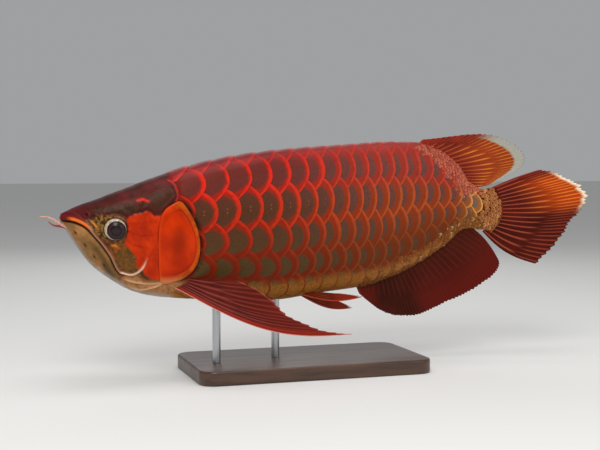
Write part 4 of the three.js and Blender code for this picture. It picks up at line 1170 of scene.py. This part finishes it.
def finFinish(name, tones):
    finish = Finish(name, Specular_Tint=rgb(255, 160, 130), Coat_Roughness=0.25, **softShine)
    ray, out, across, lead = (finish.attribute(name) for name in ("ray", "out", "acrossFin", "lead"))
    broad = finish.noise(38.0)
    grain = finish.noise(420.0, 3.0, 0.6)
    dark = tuple(c * 0.5 for c in tones["web"][:3]) + (1.0,)
    zoneStart, zoneEnd = tones["zone"]
    zone = (across - zoneStart).between(0.0, 0.14) * (zoneEnd - across).between(0.0, 0.18)
    warm = zone * (out + (broad - 0.5) * 0.2).between(tones["tipFrom"], tones["tipTo"])
    edge = zone * (out + (ray - 0.5) * 0.02).between(*tones["edgeSpan"])
    rayTone = finish.mix(warm, tones["ray"], tones["tip"])
    tone = finish.layers(
        finish.mix(broad.between(0.3, 0.7), tones["web"], dark),
        (across.between(*tones["frontSpan"]) * tones["frontStrength"], tones["frontTone"]),
        (grain.between(0.5, 0.8) * 0.4, dark), (warm * tones["webWarmth"], tones["warmWeb"]),
        (ray.between(tones["rayFrom"], 0.95) * tones["rayStrength"], rayTone),
        (lead * tones["leadStrength"], tones["leadTone"]), (edge, tones["edge"]))
    finish.set(Base_Color=tone, Roughness=grain * 0.2 + 0.4, Coat_Weight=0.04)
    if tones["edgeAlpha"] < 1:
        finish.set(Alpha=1.0 - edge * (1 - tones["edgeAlpha"]))
    finish.bump(ray.between(0.2, 0.9) * 0.4 + (out * 260.0).sine() * ray * 0.2 + grain * 0.3, 0.4, 0.3)
    return finish.material


def buildFins():
    skins = {kind: finFinish(f"{kind}Skin", {**finTone, **tones}) for kind, tones in finTones.items()}
    pieces = [
        ("pectoralLeft", "pectoral_fin_left", "pectoral", sidePlace(fins["pectoral"]), 1),
        ("pectoralRight", "pectoral_fin_right", "pectoral", sidePlace(fins["pectoral"], acrossShoulder), -1),
        ("pelvicLeft", "pelvic_fin_left", "pelvic", sidePlace(fins["leftPelvic"]), 1),
        ("pelvicRight", "pelvic_fin_right", "pelvic", sidePlace(fins["rightPelvic"]), 1),
        ("dorsalFin", "dorsal_fin", "dorsal", middlePlace(fins["dorsal"]), 1),
        ("analFin", "anal_fin", "anal", middlePlace(fins["anal"]), 1),
        ("tailFin", "caudal_fin", "tail", middlePlace(fins["caudal"]), 1),
    ]
    for name, node, kind, place, foldSide in pieces:
        shape = {**finShape, **finShapes[kind], "foldSide": foldSide}
        buildFin(name, node, place, skins[kind], shape)


# Barbels
barbels = {
    "left": {"route": [[-231, -20, 146.5], [-240, -22.5, 151.2], [-247, -25, 155.6], [-254, -28, 158.8],
                       [-261, -31, 159.4]],
             "tones": (rgb(222, 168, 140), rgb(196, 134, 108))},
    "right": {"route": [[-231, -16, 146.5], [-240, -13, 149.4], [-244.5, -8, 149.6], [-247.5, -1, 151],
                        [-249.5, 5, 153]],
              "tones": (rgb(166, 58, 46), rgb(120, 36, 32))},
}
barbelRadius = {"root": 1.6, "tip": 0.5, "uneven": 0.05}


def buildBarbel(label):
    name = f"barbel{label.title()}"
    finish = Finish(f"{name}Skin", Roughness=0.42, Coat_Weight=0.3)
    grain = finish.noise(600.0)
    finish.set(Base_Color=finish.mix(grain.between(0.3, 0.7), *barbels[label]["tones"]))
    finish.bump(grain, 0.3, 0.2)
    bm, u, v = newGrid(20, 60)
    curve = throughPoints(barbels[label]["route"])
    along = unit(curve(np.minimum(v + 0.01, 1)) - curve(np.maximum(v - 0.01, 0)))
    side = unit(np.cross(along, [0, 0, 1.0]))
    up = np.cross(side, along)
    radius = blend(barbelRadius["root"], barbelRadius["tip"], v)
    radius = radius * np.sqrt(np.clip((1 - v) / 0.03, 0, 1)) * np.clip(v / 0.001, 0, 1)
    radius = radius * (1 + barbelRadius["uneven"] * np.sin(v * 60))
    turn = 2 * math.pi * u
    points = curve(v) + side * (radius * np.cos(turn))[:, None] + up * (radius * np.sin(turn))[:, None]
    shapeGrid(bm, points, {}, stripMap(u, v))
    addPiece(name, bm, finish.material, [f"barbel_{label}"])


# Stand
stand = {"length": 236, "width": 124, "height": 14, "corner": 16, "bevel": 2, "rodRadius": 4,
         "rodX": {"front": -92, "rear": -28}}


def buildBase():
    wood = Finish("standWood", Coat_Weight=0.25, Coat_Roughness=0.3)
    rings = wood.noise(6.0, 5.0, 0.6, wood.stretched((1.6, 14.0, 14.0)))
    pores = wood.noise(60.0, 3.0, 0.7, wood.stretched((2.0, 30.0, 30.0)))
    tone = wood.mix(rings.between(0.35, 0.65), rgb(84, 54, 34), rgb(52, 32, 20))
    tone = wood.mix(pores.between(0.55, 0.75) * 0.5, tone, rgb(34, 20, 12))
    wood.set(Base_Color=tone, Roughness=rings * 0.15 + 0.32)
    wood.bump(pores, 0.25, 0.2)
    bm = bmesh.new()
    bmesh.ops.create_cube(bm, size=1)
    bmesh.ops.scale(bm, vec=Vector((stand["length"], stand["width"], stand["height"])) * mm, verts=bm.verts)
    bmesh.ops.translate(bm, vec=(0, 0, stand["height"] / 2 * mm), verts=bm.verts)
    upright = [e for e in bm.edges if abs(e.verts[0].co.z - e.verts[1].co.z) > mm]
    bmesh.ops.bevel(bm, geom=upright, offset=stand["corner"] * mm, segments=10, profile=0.5, affect="EDGES",
                    material=-1)
    level = [e for e in bm.edges if abs(e.verts[0].co.z - e.verts[1].co.z) < 0.01 * mm
             and len({round(f.normal.z) for f in e.link_faces}) > 1]
    bmesh.ops.bevel(bm, geom=level, offset=stand["bevel"] * mm, segments=4, profile=0.5, affect="EDGES",
                    material=-1)
    addPiece("standBase", bm, wood.material, ["stand_base"], sharpAngle=40)


def buildRods():
    metal = Finish("standMetal", Base_Color=rgb(186, 188, 192), Metallic=1.0)
    brushed = metal.noise(40.0, 3.0, 0.6, metal.stretched((30.0, 30.0, 1.0)))
    metal.set(Roughness=brushed * 0.15 + 0.22)
    metal.bump(brushed, 0.15, 0.05)
    radius = stand["rodRadius"] * mm
    for label, x in stand["rodX"].items():
        node = f"stand_rod_{label}"
        low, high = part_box(node)
        middle = (x * mm, float(body["sway"](x)) * mm, (high.z + low.z) / 2)
        bm = bmesh.new()
        bmesh.ops.create_cone(bm, cap_ends=True, segments=48, radius1=radius, radius2=radius,
                              depth=high.z - low.z)
        bmesh.ops.translate(bm, vec=middle, verts=bm.verts)
        addPiece(f"standRod{label.title()}", bm, metal.material, [node], sharpAngle=40)


# Camera, light and floor; lamps are name: (place, size, watts)
view = {"azimuth": -18, "elevation": 3, "distance": 1150, "aimZ": 145.65, "lens": 68.32, "sensor": 36}
lamps = {"keyLight": ((-450, -1200, 1100), 700, 13), "fillLight": ((900, -1100, 600), 900, 2.5),
         "topLight": ((0, -150, 1500), 900, 9), "backLight": ((300, 1200, 900), 900, 2.5)}
studio = {"floorHalf": 12, "airTone": (0.86, 0.88, 0.9, 1), "airStrength": 0.4}


def pointAt(holder, direction):
    holder.rotation_mode = "QUATERNION"
    holder.rotation_quaternion = direction.to_track_quat("-Z", "Y")


def buildStage():
    turn, rise = math.radians(view["azimuth"]), math.radians(view["elevation"])
    back = Vector((math.sin(turn) * math.cos(rise), -math.cos(turn) * math.cos(rise), math.sin(rise)))
    aim = Vector((0, float(body["sway"](0)), view["aimZ"]))
    camera = bpy.data.cameras.new("camera")
    camera.lens, camera.sensor_width = view["lens"], view["sensor"]
    holder = showObject("camera", camera)
    holder.location = (aim + back * view["distance"]) * mm
    pointAt(holder, -back)
    bpy.context.scene.camera = holder
    bm = bmesh.new()
    bmesh.ops.create_grid(bm, x_segments=1, y_segments=1, size=studio["floorHalf"])
    mesh = bpy.data.meshes.new("floor")
    bm.to_mesh(mesh)
    bm.free()
    paper = Finish("floorPaper", Base_Color=rgb(226, 225, 222), Roughness=0.9, Specular_IOR_Level=0.1)
    mesh.materials.append(paper.material)
    showObject("floor", mesh)
    world = bpy.data.worlds.new("studio")
    world.use_nodes = True
    air = world.node_tree.nodes["Background"]
    feed(air.inputs["Color"], studio["airTone"])
    feed(air.inputs["Strength"], studio["airStrength"])
    bpy.context.scene.world = world
    for name, (place, size, power) in lamps.items():
        light = bpy.data.lights.new(name, "AREA")
        light.size, light.energy = size * mm, power
        lamp = showObject(name, light)
        lamp.location = Vector(place) * mm
        pointAt(lamp, aim * mm - lamp.location)
    bpy.context.scene.view_settings.view_transform = "Standard"


buildStage()
print("camera and stage made")
buildSkin()
buildScales()
buildSmallScales()
print("skin and scales made")
gillMaterial, eyeMaterial = gillFinish(), eyeFinish()
for label, side in (("left", 1), ("right", -1)):
    buildGillCover(side, label, gillMaterial)
    buildEye(side, label, eyeMaterial)
print("gill covers and eyes made")
buildFins()
for label in barbels:
    buildBarbel(label)
print("fins and barbels made")
buildBase()
buildRods()
print("stand made")
